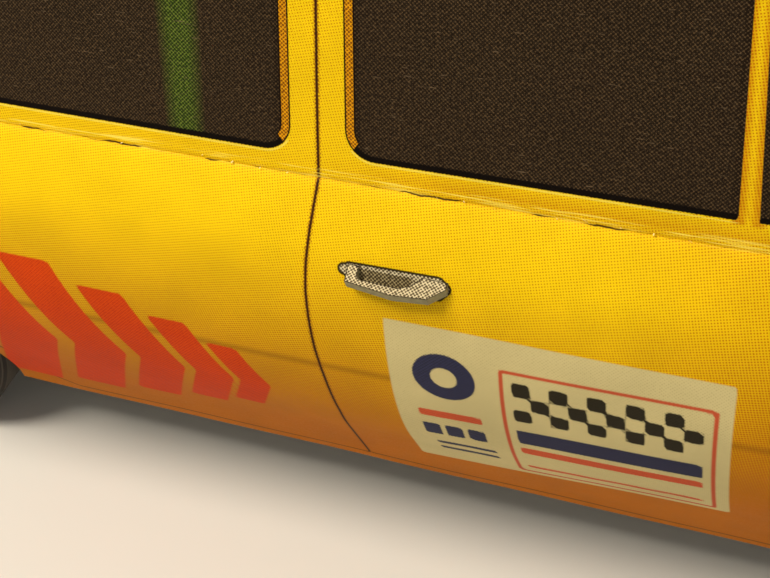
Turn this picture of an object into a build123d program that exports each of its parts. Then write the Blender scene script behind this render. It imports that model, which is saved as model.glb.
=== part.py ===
from build123d import *
import os
from math import cos, radians, sin, sqrt, tan

# Card model of a four-door rally saloon at 1:32, cut, creased and glued from printed card.
# Millimetres. X points to the front, Y to the car's left, Z up.
# The origin is on the floor, under the middle of the car.

# Sheet and glue
CARD = 0.3  # printed card
LINER = 0.9  # three sheets glued together, for what carries an axle
LAP = 0.05  # running gap round an axle

# Overall places
NOSE_X = 72.6  # front panel, at its middle
TAIL_X = -72.6  # rear panel, at its middle
NOSE_RADIUS = 110.0  # bow of the front panel, seen from above
TAIL_RADIUS = 150.0  # bow of the rear panel, seen from above
HALF_WIDTH = 28.9  # over the widest part of a flank
FOLD_Z = 33.4  # crease between a flank and its window band

# Flank section, two bends in one sheet and a straight run; angles are from straight down
FOLD_ANGLE = 46.0  # outward slope just under the crease
WAIST_ANGLE = 12.0  # outward slope where the tight bend ends
TUCK_ANGLE = 24.0  # inward slope of the straight run
SHOULDER_RADIUS = 11.4
FLANK_RADIUS = 22.6
SILL_RUN = 8.3  # straight run down to the lower edge

# Cabin
PILLAR_ANGLE = 14.0  # lean of the window band
EAVES_Z = 48.9  # roof edge
ROOF_RISE = 2.6  # crown of the roof above its edge
SCREEN_FOOT_X = 39.0  # windscreen corner on the crease
SCREEN_TOP_X = 30.0  # windscreen corner at the roof
BACKLIGHT_FOOT_X = -43.0  # rear window corner on the crease
BACKLIGHT_TOP_X = -31.0  # rear window corner at the roof
SCREEN_BOW = 4.5  # how far the windscreen bows forward
BACKLIGHT_BOW = 3.6  # how far the rear window bows back

# Floor and wheels
FLOOR_CARD = 0.6  # two sheets
FRONT_AXLE_X = 48.5
REAR_AXLE_X = -38.5
TYRE_RADIUS = 10.3
TYRE_WIDTH = 5.4
RIM_RADIUS = 6.8
TYRE_INSET = 3.6  # outer face of a tyre, in from the widest part of the flank
AXLE_RADIUS = 1.0
TYRE_ROUND = 0.9
RIM_LIP = 0.7
DISC_SET_IN = 0.7  # wheel face behind the tyre's
CAP_RADIUS = 2.7
CAP_DEPTH = 0.5
VENTS = 8
VENT_WIDTH = 0.9
VENT_RING = 4.6  # radius on which the vents lie
ARCH_GAP = 1.2  # between a tyre and its arch
WELL_GAP = 1.5  # between a tyre and the inner wall of its well

# Bumpers
BUMPER_GAP = 0.9
BUMPER_DEPTH = 1.5
BUMPER_HEIGHT = 3.4
BUMPER_Z = 13.2
BUMPER_WRAP = 10.0  # how far a bumper runs back along the flanks
BUMPER_INSET = 1.6  # inner face, in from the widest part of the flank
BUMPER_CORNER = 4.0
BUMPER_ROUND = 0.5
BRACKET_Y = 14.0
BRACKET_WIDTH = 2.0

# Door handles
GRIP_LENGTH = 6.2
GRIP_REACH = 1.5  # from its root to its lip
GRIP_ANGLE = 50.0  # how far it is bent out from the door
GRIP_CARD = 0.45
GRIP_DROP = 4.75  # its root below the crease, along the sheet
FRONT_GRIP_X = 6.4  # middle of the front door's grip
REAR_GRIP_X = -26.4
GRIP_OUTLINE = (  # in half lengths and reaches; the inner side of the loop comes last
    (-1, 0),
    (-0.95, 0.77),
    (0, 1),
    (0.7, 0.88),
    (1, 0.33),
    (1, 0),
    (0.5, 0),
    (0.3, 0.45),
    (0.1, 0.63),
    (-0.68, 0.57),
    (-0.76, 0.4),
    (-0.76, 0),
)

# Lamps
LAMP_RIM = 0.5
LAMP_RECESS = 0.4
LAMP_DOME = 0.4
LAMP_FOOT = 1.0
HEADLAMP_RADIUS = 3.4
HEADLAMP_DEPTH = 1.5
HEADLAMP_INSET = 8.7  # middle of a headlamp, in from the widest part of the flank
HEADLAMP_Z = 24.2
DRIVING_RADIUS = 3.1
DRIVING_DEPTH = 1.5
DRIVING_LIFT = 0.4  # above the bumper
DRIVING_Y = 9.4
TAIL_LAMP_WIDTH = 4.2
TAIL_LAMP_HEIGHT = 6.4
TAIL_LAMP_DEPTH = 0.6
TAIL_LAMP_STEP = 1.4  # bow of the rear panel at the lamp
TAIL_LAMP_INSET = 8.1
TAIL_LAMP_Z = 24.6

# Grille
GRILLE_INSET = 15.3  # end of the grille, in from the widest part of the flank
GRILLE_HEIGHT = 7.6
GRILLE_CARD = 0.6
GRILLE_SLOTS = 6
GRILLE_BAR = 0.4
GRILLE_FRAME = 0.8
GRILLE_Z = 24.0

os.makedirs("parts", exist_ok=True)

# What follows from the flank's two bends
UPPER_FALL = SHOULDER_RADIUS * (sin(radians(FOLD_ANGLE)) - sin(radians(WAIST_ANGLE)))
LOWER_FALL = FLANK_RADIUS * (sin(radians(WAIST_ANGLE)) + sin(radians(TUCK_ANGLE)))
FLANK_HEIGHT = UPPER_FALL + LOWER_FALL + SILL_RUN * cos(radians(TUCK_ANGLE))
BULGE = SHOULDER_RADIUS * (cos(radians(WAIST_ANGLE)) - cos(radians(FOLD_ANGLE)))
BULGE += FLANK_RADIUS * (1 - cos(radians(WAIST_ANGLE)))
SILL_Z = FOLD_Z - FLANK_HEIGHT
FLOOR_Z = SILL_Z + CARD * sin(radians(TUCK_ANGLE))  # flush with the flanks' inner edges
FOLD_Y = HALF_WIDTH - BULGE
ARCH_RADIUS = TYRE_RADIUS + ARCH_GAP
TYRE_FACE_Y = HALF_WIDTH - TYRE_INSET
WELL_Y = TYRE_FACE_Y - TYRE_WIDTH - WELL_GAP
REACH = 4.0  # how far a skin is drawn past the front and rear panels before it is trimmed
BUMPER_SIDE_Y = HALF_WIDTH - BUMPER_INSET
HEADLAMP_Y = HALF_WIDTH - HEADLAMP_INSET
TAIL_LAMP_Y = HALF_WIDTH - TAIL_LAMP_INSET
GRILLE_HALF_WIDTH = HALF_WIDTH - GRILLE_INSET
TALL = 2 * HALF_WIDTH  # more than the height of the car

# Body sections: place along X, then how much narrower, how much lower the crease and how much
# higher the lower edge is than at the doors, and the crown of the bonnet or boot
STATIONS = (
    (TAIL_X - REACH, 3.9, 2.4, 5.0, 1.3),
    (TAIL_X + 7, 1.5, 1.0, 2.4, 2.1),
    (TAIL_X + 18, 0.4, 0.3, 0.6, 2.6),
    (BACKLIGHT_FOOT_X - 4, 0, 0, 0, 2.8),
    (BACKLIGHT_FOOT_X + 2, 0, 0, 0, 2.8),
    (SCREEN_FOOT_X - 2, 0, 0, 0, 2.8),
    (SCREEN_FOOT_X + 4, 0, 0, 0, 2.8),
    (NOSE_X - 18, 0.5, 0.5, 0.5, 2.6),
    (NOSE_X - 8, 1.5, 1.3, 2.0, 2.1),
    (NOSE_X + REACH, 4.0, 3.0, 5.2, 1.3),
)

# Roof sections: place along X, how much lower the edge is, how much flatter the crown is
ROOF_STATIONS = (
    (BACKLIGHT_TOP_X - 14, 1.5, 0.9),
    (BACKLIGHT_TOP_X + 4, 0.25, 0.25),
    (0.0, 0, 0),
    (SCREEN_TOP_X - 4, 0.25, 0.25),
    (SCREEN_TOP_X + 14, 1.5, 0.9),
)


def crease_point(station):
    """Crease in a section: its Y, its Z and the size of the section against the doors'."""
    x, narrower, lower, raised, crown = station
    size = (FLANK_HEIGHT - lower - raised) / FLANK_HEIGHT
    return HALF_WIDTH - narrower - BULGE * size, FOLD_Z - lower, size


def inner_crease(y, z):
    """The crease point on the sheet's inner face."""
    return y - CARD * cos(radians(FOLD_ANGLE)), z - CARD * sin(radians(FOLD_ANGLE))


def flank_line(start, size, inset):
    """The two bends of the left flank and the run below them, from the crease down."""
    slope = (sin(radians(FOLD_ANGLE)), -cos(radians(FOLD_ANGLE)))
    upper = JernArc(start, slope, SHOULDER_RADIUS * size - inset, WAIST_ANGLE - FOLD_ANGLE)
    lower = JernArc(
        upper @ 1, upper % 1, FLANK_RADIUS * size - inset, -WAIST_ANGLE - TUCK_ANGLE
    )
    return Line(lower @ 1, lower @ 1 + lower % 1 * SILL_RUN * size)


def body_outline(station, inset):
    """Closed section of the whole body, on its outer or its inner face."""
    y, z, size = crease_point(station)
    if inset:
        y, z = inner_crease(y, z)
    crown = z + station[4]
    with BuildSketch(Plane.YZ.offset(station[0])) as outline:
        with BuildLine():
            run = flank_line((y, z), size, inset)
            Line(run @ 1, (0, (run @ 1).Y))
            mirror(about=Plane.YZ)
            ThreePointArc((y, z), (0, crown), (-y, z))
        make_face()
    return outline.sketch


def deck_outline(station):
    """Section of the bonnet's or the boot's sheet."""
    y, z, size = crease_point(station)
    inner_y, inner_z = inner_crease(y, z)
    crown = station[4]
    with BuildSketch(Plane.YZ.offset(station[0])) as outline:
        with BuildLine():
            ThreePointArc((y, z), (0, z + crown), (-y, z))
            ThreePointArc((inner_y, inner_z), (0, z + crown - CARD), (-inner_y, inner_z))
            Line((y, z), (inner_y, inner_z))
            Line((-y, z), (-inner_y, inner_z))
        make_face()
    return outline.sketch


def flank_outline(station):
    """Section of the left flank's sheet."""
    y, z, size = crease_point(station)
    with BuildSketch(Plane.YZ.offset(station[0])) as outline:
        with BuildLine():
            outer = flank_line((y, z), size, 0)
            inner = flank_line(inner_crease(y, z), size, CARD)
            Line((y, z), inner_crease(y, z))
            Line(outer @ 1, inner @ 1)
        make_face()
    return outline.sketch


def skin(outline, rows, *options):
    """Loft a section through the body's stations."""
    with BuildPart() as body:
        for row in rows:
            add(outline(row, *options))
        loft(ruled=True)
    return body.part


def bow_outline(out):
    """Plan between the bowed front and rear panels, its ends moved out by a distance."""
    with BuildSketch() as plan:
        with Locations((NOSE_X - NOSE_RADIUS, 0)):
            Circle(NOSE_RADIUS + out)
        with Locations((TAIL_X + TAIL_RADIUS, 0)):
            Circle(TAIL_RADIUS + out, mode=Mode.INTERSECT)
    return plan.sketch


def cabin_outline(z, inset):
    """Plan of the cabin at a height: two straight sides, a bowed screen at each end."""
    rise = (z - FOLD_Z) / (EAVES_Z - FOLD_Z)
    side = FOLD_Y - (z - FOLD_Z) * tan(radians(PILLAR_ANGLE)) - inset / cos(radians(PILLAR_ANGLE))
    front = SCREEN_FOOT_X + (SCREEN_TOP_X - SCREEN_FOOT_X) * rise - inset
    rear = BACKLIGHT_FOOT_X + (BACKLIGHT_TOP_X - BACKLIGHT_FOOT_X) * rise + inset
    with BuildSketch(Plane.XY.offset(z)) as plan:
        with BuildLine():
            Line((rear, -side), (front, -side))
            ThreePointArc((front, -side), (front + SCREEN_BOW, 0), (front, side))
            Line((front, side), (rear, side))
            ThreePointArc((rear, side), (rear - BACKLIGHT_BOW, 0), (rear, -side))
        make_face()
    return plan.sketch


def cabin_block(inset):
    """Solid cabin, from inside the body to above the roof."""
    with BuildPart() as block:
        add(cabin_outline(FOLD_Z - CARD, inset))
        add(cabin_outline(EAVES_Z + ROOF_RISE + 2 * CARD, inset))
        loft(ruled=True)
    return block.part


def under_roof(inset):
    """Everything below the roof's outer or inner face."""
    with BuildPart() as block:
        for x, lower, flatter in ROOF_STATIONS:
            edge = EAVES_Z - lower - inset
            side = FOLD_Y
            with BuildSketch(Plane.YZ.offset(x)):
                with BuildLine():
                    spread = side / (FOLD_Y - (EAVES_Z - FOLD_Z) * tan(radians(PILLAR_ANGLE)))
                    rise = ROOF_RISE - flatter
                    drop = rise * (spread * spread - 1)
                    ThreePointArc((-side, edge - drop), (0, edge + rise), (side, edge - drop))
                    Polyline(
                        (side, edge - drop), (side, SILL_Z), (-side, SILL_Z), (-side, edge - drop)
                    )
                make_face()
        loft(ruled=True)
    return block.part


def export(piece, name):
    """Write one node's solid."""
    piece.label = name
    export_step(piece, "parts/" + name + ".step")


body_outer = skin(body_outline, STATIONS, 0)
body_inner = skin(body_outline, STATIONS, CARD)
cabin_outer = cabin_block(0)
cabin_inner = cabin_block(CARD)
roof_outer = under_roof(0)
roof_inner = under_roof(CARD)
with BuildPart() as between_ends:
    with BuildSketch():
        add(bow_outline(-CARD))
    extrude(amount=TALL)
with BuildPart() as to_the_ends:
    with BuildSketch():
        add(bow_outline(0))
    extrude(amount=TALL)


# Flank and window band, one sheet creased at the belt
inner_y, inner_z = inner_crease(FOLD_Y, FOLD_Z)
pillar = radians(PILLAR_ANGLE)
eaves_y = FOLD_Y - (EAVES_Z - FOLD_Z) * tan(pillar)
with BuildPart() as window_band:
    with BuildSketch(Plane.YZ.offset(BACKLIGHT_FOOT_X)):
        with BuildLine():
            Polyline(
                (FOLD_Y, FOLD_Z),
                (eaves_y, EAVES_Z),
                (eaves_y - CARD / cos(pillar), EAVES_Z),
                (inner_y, inner_z),
                close=True,
            )
        make_face()
    extrude(amount=SCREEN_FOOT_X - BACKLIGHT_FOOT_X)
    with BuildSketch(Plane.XZ):
        with BuildLine():
            Polyline(
                (BACKLIGHT_FOOT_X, SILL_Z),
                (BACKLIGHT_FOOT_X, FOLD_Z),
                (BACKLIGHT_TOP_X, EAVES_Z),
                (SCREEN_TOP_X, EAVES_Z),
                (SCREEN_FOOT_X, FOLD_Z),
                (SCREEN_FOOT_X, SILL_Z),
                close=True,
            )
        make_face()
    extrude(amount=-TALL, mode=Mode.INTERSECT)
    add(roof_inner, mode=Mode.INTERSECT)

with BuildPart() as wheel_arches:
    for axle_x in (FRONT_AXLE_X, REAR_AXLE_X):
        with BuildSketch(Plane.XZ):
            with Locations((axle_x, TYRE_RADIUS)):
                Circle(ARCH_RADIUS - CARD)
        extrude(amount=TALL, both=True)

with BuildPart() as side_left:
    add(skin(flank_outline, STATIONS))
    add(window_band.part)
    add(between_ends.part, mode=Mode.INTERSECT)
    add(wheel_arches.part, mode=Mode.SUBTRACT)
export(side_left.part, "side_left")

with BuildPart() as side_right:
    add(mirror(side_left.part, about=Plane.XZ))
export(side_right.part, "side_right")


# Windscreen and rear window, printed sheets bowed between the sides
def screen(name, x):
    """The part of the cabin's end sheet in front of or behind a place along X."""
    with BuildPart() as piece:
        add(cabin_outer)
        add(cabin_inner, mode=Mode.SUBTRACT)
        add(roof_inner, mode=Mode.INTERSECT)
        add(body_inner, mode=Mode.SUBTRACT)
        add(side_left.part, mode=Mode.SUBTRACT)
        add(side_right.part, mode=Mode.SUBTRACT)
        split(bisect_by=Plane.YZ.offset(x), keep=Keep.TOP if x > 0 else Keep.BOTTOM)
    export(piece.part, name)


screen("windscreen", SCREEN_TOP_X - 2)
screen("rear_window", BACKLIGHT_TOP_X + 2)

# Roof, one crowned sheet
with BuildPart() as roof:
    add(roof_outer)
    add(roof_inner, mode=Mode.SUBTRACT)
    add(cabin_outer, mode=Mode.INTERSECT)
export(roof.part, "roof")


# Bonnet and boot lid, crowned sheets between the two creases
def deck(name, rows):
    with BuildPart() as piece:
        add(skin(deck_outline, rows))
        add(between_ends.part, mode=Mode.INTERSECT)
        add(cabin_outer, mode=Mode.SUBTRACT)
    export(piece.part, name)


deck("bonnet", STATIONS[5:])
deck("boot_lid", STATIONS[:5])


# Front and rear panels, bowed sheets that close the ends
def end_panel(name, x):
    with BuildPart() as piece:
        add(to_the_ends.part)
        add(between_ends.part, mode=Mode.SUBTRACT)
        add(body_outer, mode=Mode.INTERSECT)
        split(bisect_by=Plane.YZ.offset(x), keep=Keep.TOP if x > 0 else Keep.BOTTOM)
    export(piece.part, name)


end_panel("front_panel", FRONT_AXLE_X)
end_panel("rear_panel", REAR_AXLE_X)

# Floor, notched for the wheels
with BuildPart() as under_body:
    add(body_inner)
    add(between_ends.part, mode=Mode.INTERSECT)

with BuildPart() as floor:
    for x, narrower, lower, raised, crown in STATIONS:
        with BuildSketch(Plane.YZ.offset(x)):
            with Locations((0, FLOOR_Z + raised)):
                Rectangle(2 * HALF_WIDTH, 2 * FLOOR_CARD)
    loft(ruled=True)
    add(under_body.part, mode=Mode.INTERSECT)
    for axle_x in (FRONT_AXLE_X, REAR_AXLE_X):
        for hand in (-1, 1):
            with Locations((axle_x, hand * (WELL_Y - LINER + TALL / 2), FLOOR_Z)):
                Box(2 * ARCH_RADIUS, TALL, TALL, mode=Mode.SUBTRACT)
export(floor.part, "floor")


# Wheel wells: a bent liner under the flank and an inner wall that carries the axle
def wheel_well(name, axle_x, hand):
    with BuildPart() as piece:
        with BuildSketch(Plane.XZ.offset(-hand * (WELL_Y - LINER))):
            with Locations((axle_x, TYRE_RADIUS)):
                Circle(ARCH_RADIUS)
            with Locations((axle_x, FLOOR_Z + TYRE_RADIUS / 2)):
                Rectangle(2 * ARCH_RADIUS, TYRE_RADIUS)
            with Locations((axle_x, FLOOR_Z - TALL / 2)):
                Rectangle(TALL, TALL, mode=Mode.SUBTRACT)
        extrude(amount=-hand * TALL / 2)
        with BuildSketch(Plane.XZ.offset(-hand * WELL_Y)):
            with Locations((axle_x, TYRE_RADIUS)):
                Circle(ARCH_RADIUS - CARD)
            with Locations((axle_x, TYRE_RADIUS - ARCH_RADIUS)):
                Rectangle(2 * (ARCH_RADIUS - CARD), 2 * ARCH_RADIUS)
        extrude(amount=-hand * TALL / 2, mode=Mode.SUBTRACT)
        add(under_body.part, mode=Mode.INTERSECT)
        with Locations(Location((axle_x, 0, TYRE_RADIUS), (90, 0, 0))):
            Cylinder(AXLE_RADIUS + LAP, TALL, mode=Mode.SUBTRACT)
    export(piece.part, name)


for axle, axle_x in (("front", FRONT_AXLE_X), ("rear", REAR_AXLE_X)):
    wheel_well("wheel_well_" + axle + "_right", axle_x, -1)
    wheel_well("wheel_well_" + axle + "_left", axle_x, 1)


# Wheels: a wound card tyre on a stack of card discs, two on each axle
def across(axle_x, y):
    """Plane across the car at Y, seen from the left, centred on an axle."""
    return Plane(origin=(axle_x, y, TYRE_RADIUS), x_dir=(1, 0, 0), z_dir=(0, 1, 0))


def tyre(name, axle_x, hand):
    inner_y = hand * (TYRE_FACE_Y - TYRE_WIDTH)
    with BuildPart() as piece:
        with BuildSketch(across(axle_x, inner_y)):
            Circle(TYRE_RADIUS)
            Circle(RIM_RADIUS, mode=Mode.SUBTRACT)
        extrude(amount=hand * TYRE_WIDTH)
        chamfer(piece.edges().filter_by(GeomType.CIRCLE).group_by(SortBy.RADIUS)[-1], TYRE_ROUND)
    export(piece.part, name)


def wheel(name, axle_x, hand):
    face_y = TYRE_FACE_Y - DISC_SET_IN
    inner_y = TYRE_FACE_Y - TYRE_WIDTH
    with BuildPart() as piece:
        with BuildSketch(across(axle_x, hand * inner_y)):
            Circle(RIM_RADIUS)
        extrude(amount=hand * (face_y - inner_y))
        with BuildSketch(across(axle_x, hand * face_y)):
            Circle(RIM_RADIUS)
            Circle(RIM_RADIUS - RIM_LIP, mode=Mode.SUBTRACT)
        extrude(amount=hand * DISC_SET_IN)
        with BuildSketch(across(axle_x, hand * face_y)):
            Circle(CAP_RADIUS)
        extrude(amount=hand * CAP_DEPTH)
        with BuildSketch(across(axle_x, hand * (face_y - CARD))):
            with PolarLocations(VENT_RING, VENTS):
                Circle(VENT_WIDTH / 2)
        extrude(amount=hand * CARD, mode=Mode.SUBTRACT)
        with BuildSketch(across(axle_x, hand * inner_y)):
            Circle(AXLE_RADIUS)
        extrude(amount=hand * (face_y - inner_y - CARD), mode=Mode.SUBTRACT)
    export(piece.part, name)


for axle, axle_x in (("front", FRONT_AXLE_X), ("rear", REAR_AXLE_X)):
    for side, hand in (("right", -1), ("left", 1)):
        tyre("tyre_" + axle + "_" + side, axle_x, hand)
        wheel("wheel_" + axle + "_" + side, axle_x, hand)
    with BuildPart() as axle_rod:
        with BuildSketch(across(axle_x, 0)):
            Circle(AXLE_RADIUS)
        extrude(amount=TYRE_FACE_Y - DISC_SET_IN - CARD, both=True)
    export(axle_rod.part, "axle_" + axle)


# Bumpers: laminated card strips that follow the ends and wrap round the corners
def bumper_plan(out):
    with BuildSketch() as plan:
        add(bow_outline(out))
        Rectangle(4 * NOSE_RADIUS, 2 * (BUMPER_SIDE_Y + out - BUMPER_GAP), mode=Mode.INTERSECT)
        fillet(plan.vertices(), BUMPER_CORNER + out)
    return plan.sketch


def bumper(name, hand):
    """The strip at the front, hand 1, or at the rear, hand -1."""
    end = NOSE_X if hand > 0 else -TAIL_X
    with BuildPart() as piece:
        with BuildSketch(Plane.XY.offset(BUMPER_Z)):
            add(bumper_plan(BUMPER_GAP + BUMPER_DEPTH))
            add(bumper_plan(BUMPER_GAP), mode=Mode.SUBTRACT)
            with Locations((hand * (end - BUMPER_WRAP + TALL / 2), 0)):
                Rectangle(TALL, TALL + 4 * BUMPER_GAP, mode=Mode.INTERSECT)
        extrude(amount=BUMPER_HEIGHT)
        outer = piece.edges().filter_by(Plane.XY).filter_by(GeomType.CIRCLE)
        chamfer(outer.sort_by(SortBy.LENGTH)[-2:], BUMPER_ROUND)
        with BuildSketch(Plane.XY.offset(BUMPER_Z + BUMPER_ROUND)):
            with Locations((hand * end, -BRACKET_Y), (hand * end, BRACKET_Y)):
                Rectangle(TALL / 4, BRACKET_WIDTH)
            add(bow_outline(BUMPER_GAP + BUMPER_DEPTH / 2), mode=Mode.INTERSECT)
            add(bow_outline(0), mode=Mode.SUBTRACT)
        extrude(amount=BUMPER_HEIGHT - 2 * BUMPER_ROUND)
    export(piece.part, name)


bumper("bumper_front", 1)
bumper("bumper_rear", -1)


# Round lamps: a stack of card discs with a raised rim and a domed glass
def lamp(name, back_x, face_x, y, z, radius, foot_z=None):
    glass_x = face_x - LAMP_RECESS
    with BuildPart() as piece:
        with BuildSketch(Plane.XZ.offset(-y)):
            with BuildLine():
                Polyline(
                    (glass_x + LAMP_DOME, z),
                    (back_x, z),
                    (back_x, z + radius),
                    (face_x, z + radius),
                    (face_x, z + radius - LAMP_RIM),
                    (glass_x, z + radius - LAMP_RIM),
                )
                SagittaArc(
                    (glass_x + LAMP_DOME, z), (glass_x, z + radius - LAMP_RIM), -LAMP_DOME / 4
                )
            make_face()
        revolve(axis=Axis((0, y, z), (1, 0, 0)))
        if foot_z is not None:
            with BuildSketch(Plane.XY.offset(foot_z)):
                with Locations(((back_x + face_x) / 2, y)):
                    Rectangle(LAMP_FOOT, LAMP_FOOT)
            extrude(amount=z - foot_z - radius / 2)
        add(to_the_ends.part, mode=Mode.SUBTRACT)
    export(piece.part, name)


def front_x(y):
    """Outer face of the front panel at Y."""
    return NOSE_X - NOSE_RADIUS + sqrt(NOSE_RADIUS**2 - y**2)


bumper_top = BUMPER_Z + BUMPER_HEIGHT
for side, hand in (("right", -1), ("left", 1)):
    face_x = front_x(HEADLAMP_Y) + HEADLAMP_DEPTH
    lamp(
        "headlamp_" + side,
        front_x(HEADLAMP_Y + HEADLAMP_RADIUS) - CARD,
        face_x,
        hand * HEADLAMP_Y,
        HEADLAMP_Z,
        HEADLAMP_RADIUS,
    )
    lamp(
        "driving_lamp_" + side,
        NOSE_X + BUMPER_GAP,
        NOSE_X + BUMPER_GAP + DRIVING_DEPTH,
        hand * DRIVING_Y,
        bumper_top + DRIVING_LIFT + DRIVING_RADIUS,
        DRIVING_RADIUS,
        bumper_top,
    )
    with BuildPart() as tail_lamp:
        with BuildSketch(Plane.YZ.offset(TAIL_X - TAIL_LAMP_DEPTH + TAIL_LAMP_STEP)):
            with Locations((hand * TAIL_LAMP_Y, TAIL_LAMP_Z)):
                RectangleRounded(TAIL_LAMP_WIDTH, TAIL_LAMP_HEIGHT, TAIL_LAMP_WIDTH / 3)
        extrude(amount=TAIL_LAMP_WIDTH)
        add(to_the_ends.part, mode=Mode.SUBTRACT)
    export(tail_lamp.part, "tail_lamp_" + side)

# Grille: a slotted plate glued on the front panel
with BuildPart() as grille:
    with BuildSketch(Plane.YZ.offset(FRONT_AXLE_X)):
        with Locations((0, GRILLE_Z)):
            RectangleRounded(2 * GRILLE_HALF_WIDTH, GRILLE_HEIGHT, GRILLE_HEIGHT / 4)
            pitch = (GRILLE_HEIGHT - GRILLE_FRAME) / GRILLE_SLOTS
            with GridLocations(0, pitch, 1, GRILLE_SLOTS):
                Rectangle(
                    2 * (GRILLE_HALF_WIDTH - 2 * GRILLE_FRAME),
                    pitch - GRILLE_BAR,
                    mode=Mode.SUBTRACT,
                )
    extrude(amount=TALL)
    with BuildPart(mode=Mode.PRIVATE) as ring:
        with BuildSketch():
            add(bow_outline(GRILLE_CARD))
            add(bow_outline(0), mode=Mode.SUBTRACT)
        extrude(amount=TALL)
    add(ring.part, mode=Mode.INTERSECT)
export(grille.part, "grille")


# Door grips: a loop of double card, bent out from the shoulder along its upper edge
def grip(name, x):
    slope = radians(FOLD_ANGLE) - GRIP_DROP / SHOULDER_RADIUS
    y = FOLD_Y + SHOULDER_RADIUS * (cos(slope) - cos(radians(FOLD_ANGLE)))
    z = FOLD_Z - SHOULDER_RADIUS * (sin(radians(FOLD_ANGLE)) - sin(slope))
    lean = slope + radians(GRIP_ANGLE)
    face = Plane(origin=(x, y, z), x_dir=(1, 0, 0), z_dir=(0, cos(lean), sin(lean)))
    with BuildPart() as piece:
        with BuildSketch(face):
            with BuildLine():
                Polyline(
                    [(GRIP_LENGTH / 2 * along, GRIP_REACH * out) for along, out in GRIP_OUTLINE],
                    close=True,
                )
            make_face()
        extrude(amount=-GRIP_CARD)
        add(side_left.part, mode=Mode.SUBTRACT)
    export(piece.part, name + "_left")
    with BuildPart() as twin:
        add(mirror(piece.part, about=Plane.XZ))
    export(twin.part, name + "_right")


grip("grip_front", FRONT_GRIP_X)
grip("grip_rear", REAR_GRIP_X)
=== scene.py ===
# %% [markdown]
# # A rally car folded from printed card
# The real thing is a small paper model, about 1:32. Every panel is one sheet of offset-printed
# card, cut out, creased and glued, so almost everything the eye sees is ink on card: windows,
# door gaps, stripes, even the shine on the trim. Only the door grips, lamps, bumpers and wheels
# are built up. The solids come from the CAD model, and this script gives them their surfaces.

import bmesh
import bpy
import math
import numpy as np
from mathutils import Matrix, Vector


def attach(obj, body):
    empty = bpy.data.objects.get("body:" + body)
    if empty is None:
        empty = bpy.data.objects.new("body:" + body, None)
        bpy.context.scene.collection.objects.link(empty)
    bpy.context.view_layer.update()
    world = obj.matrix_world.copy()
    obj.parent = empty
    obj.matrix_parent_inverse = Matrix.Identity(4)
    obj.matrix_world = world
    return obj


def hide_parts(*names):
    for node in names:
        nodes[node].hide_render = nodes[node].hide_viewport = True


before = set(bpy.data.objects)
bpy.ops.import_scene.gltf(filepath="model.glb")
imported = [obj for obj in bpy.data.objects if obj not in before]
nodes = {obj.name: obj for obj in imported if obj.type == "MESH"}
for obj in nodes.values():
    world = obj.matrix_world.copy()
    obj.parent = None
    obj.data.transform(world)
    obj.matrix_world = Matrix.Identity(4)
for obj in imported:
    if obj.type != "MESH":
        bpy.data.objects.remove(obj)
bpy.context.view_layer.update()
MM = 0.001  # the drawing is in millimetres, Blender in metres

# %% [markdown]
# ## Three small helpers
# Colours are picked as sRGB hex, as a printer names them, but a shader wants linear light, so one
# function turns them. A node tree is easy to read when each node is one call with its settings
# and links, so a second one adds nodes of every kind. Each finish starts as an empty tree. The
# scale of a texture is its grains to a millimetre, so 2.6 / MM is pulp of 0.4 mm.


# %% Helpers for colours, nodes and finishes
def linear(code):
    """An sRGB hex colour as linear red, green, blue and alpha."""
    parts = [int(code[i : i + 2], 16) / 255 for i in (1, 3, 5)]
    return [p / 12.92 if p <= 0.04045 else ((p + 0.055) / 1.055) ** 2.4 for p in parts] + [1.0]


def add(tree, kind, inputs=None, **settings):
    """Add a node and set it up. An input takes a value, a hex colour, a socket or another node.

    A node stands for its first output that is in use.
    """
    made = tree.nodes.new(kind)
    for name, value in settings.items():
        setattr(made, name, value)
    for key, value in (inputs or {}).items():
        if isinstance(value, bpy.types.Node):
            value = next(output for output in value.outputs if output.enabled)
        if isinstance(value, bpy.types.NodeSocket):
            tree.links.new(value, made.inputs[key])
        else:
            made.inputs[key].default_value = linear(value) if isinstance(value, str) else value
    return made


def new_finish(name):
    """A material named for its finish, and its empty tree."""
    material = bpy.data.materials.new(name)
    material.use_nodes = True
    material.node_tree.nodes.clear()
    return material, material.node_tree


print("card yellow in linear light:", [round(c, 3) for c in linear("#F0BE10")])

# %% [markdown]
# ## The shape of a side
# A side is one sheet with a straight window band, a sharp crease at the belt and a flank with two
# bends and a straight run below them. It could be a copy of the solid, but ink needs a mesh whose
# points know where they lie on the flat sheet. So the sheet is worked out again as a grid, from
# the same sizes: how far along the car, and how far below the crease when the sheet lies flat.

# %% Sizes of the sheet, in millimetres
CARD = 0.3
NOSE_X, TAIL_X = 72.6, -72.6
NOSE_RADIUS, TAIL_RADIUS = 110.0, 150.0
BOW_START = 62.0  # from here on the sheet's ends follow the bowed end panels
HALF_WIDTH = 28.9
FOLD_Z, EAVES_Z = 33.4, 48.9
FOLD_ANGLE, WAIST_ANGLE, TUCK_ANGLE = (math.radians(a) for a in (46, 12, 24))
SHOULDER_RADIUS, FLANK_RADIUS, SILL_RUN = 11.4, 22.6, 8.3
PILLAR_ANGLE = math.radians(14)
SCREEN_FOOT_X, SCREEN_TOP_X = 39.0, 30.0
BACKLIGHT_FOOT_X, BACKLIGHT_TOP_X = -43.0, -31.0
AXLE_X = {"front": 48.5, "rear": -38.5}
TYRE_RADIUS, ARCH_RADIUS = 10.3, 11.2
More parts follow.
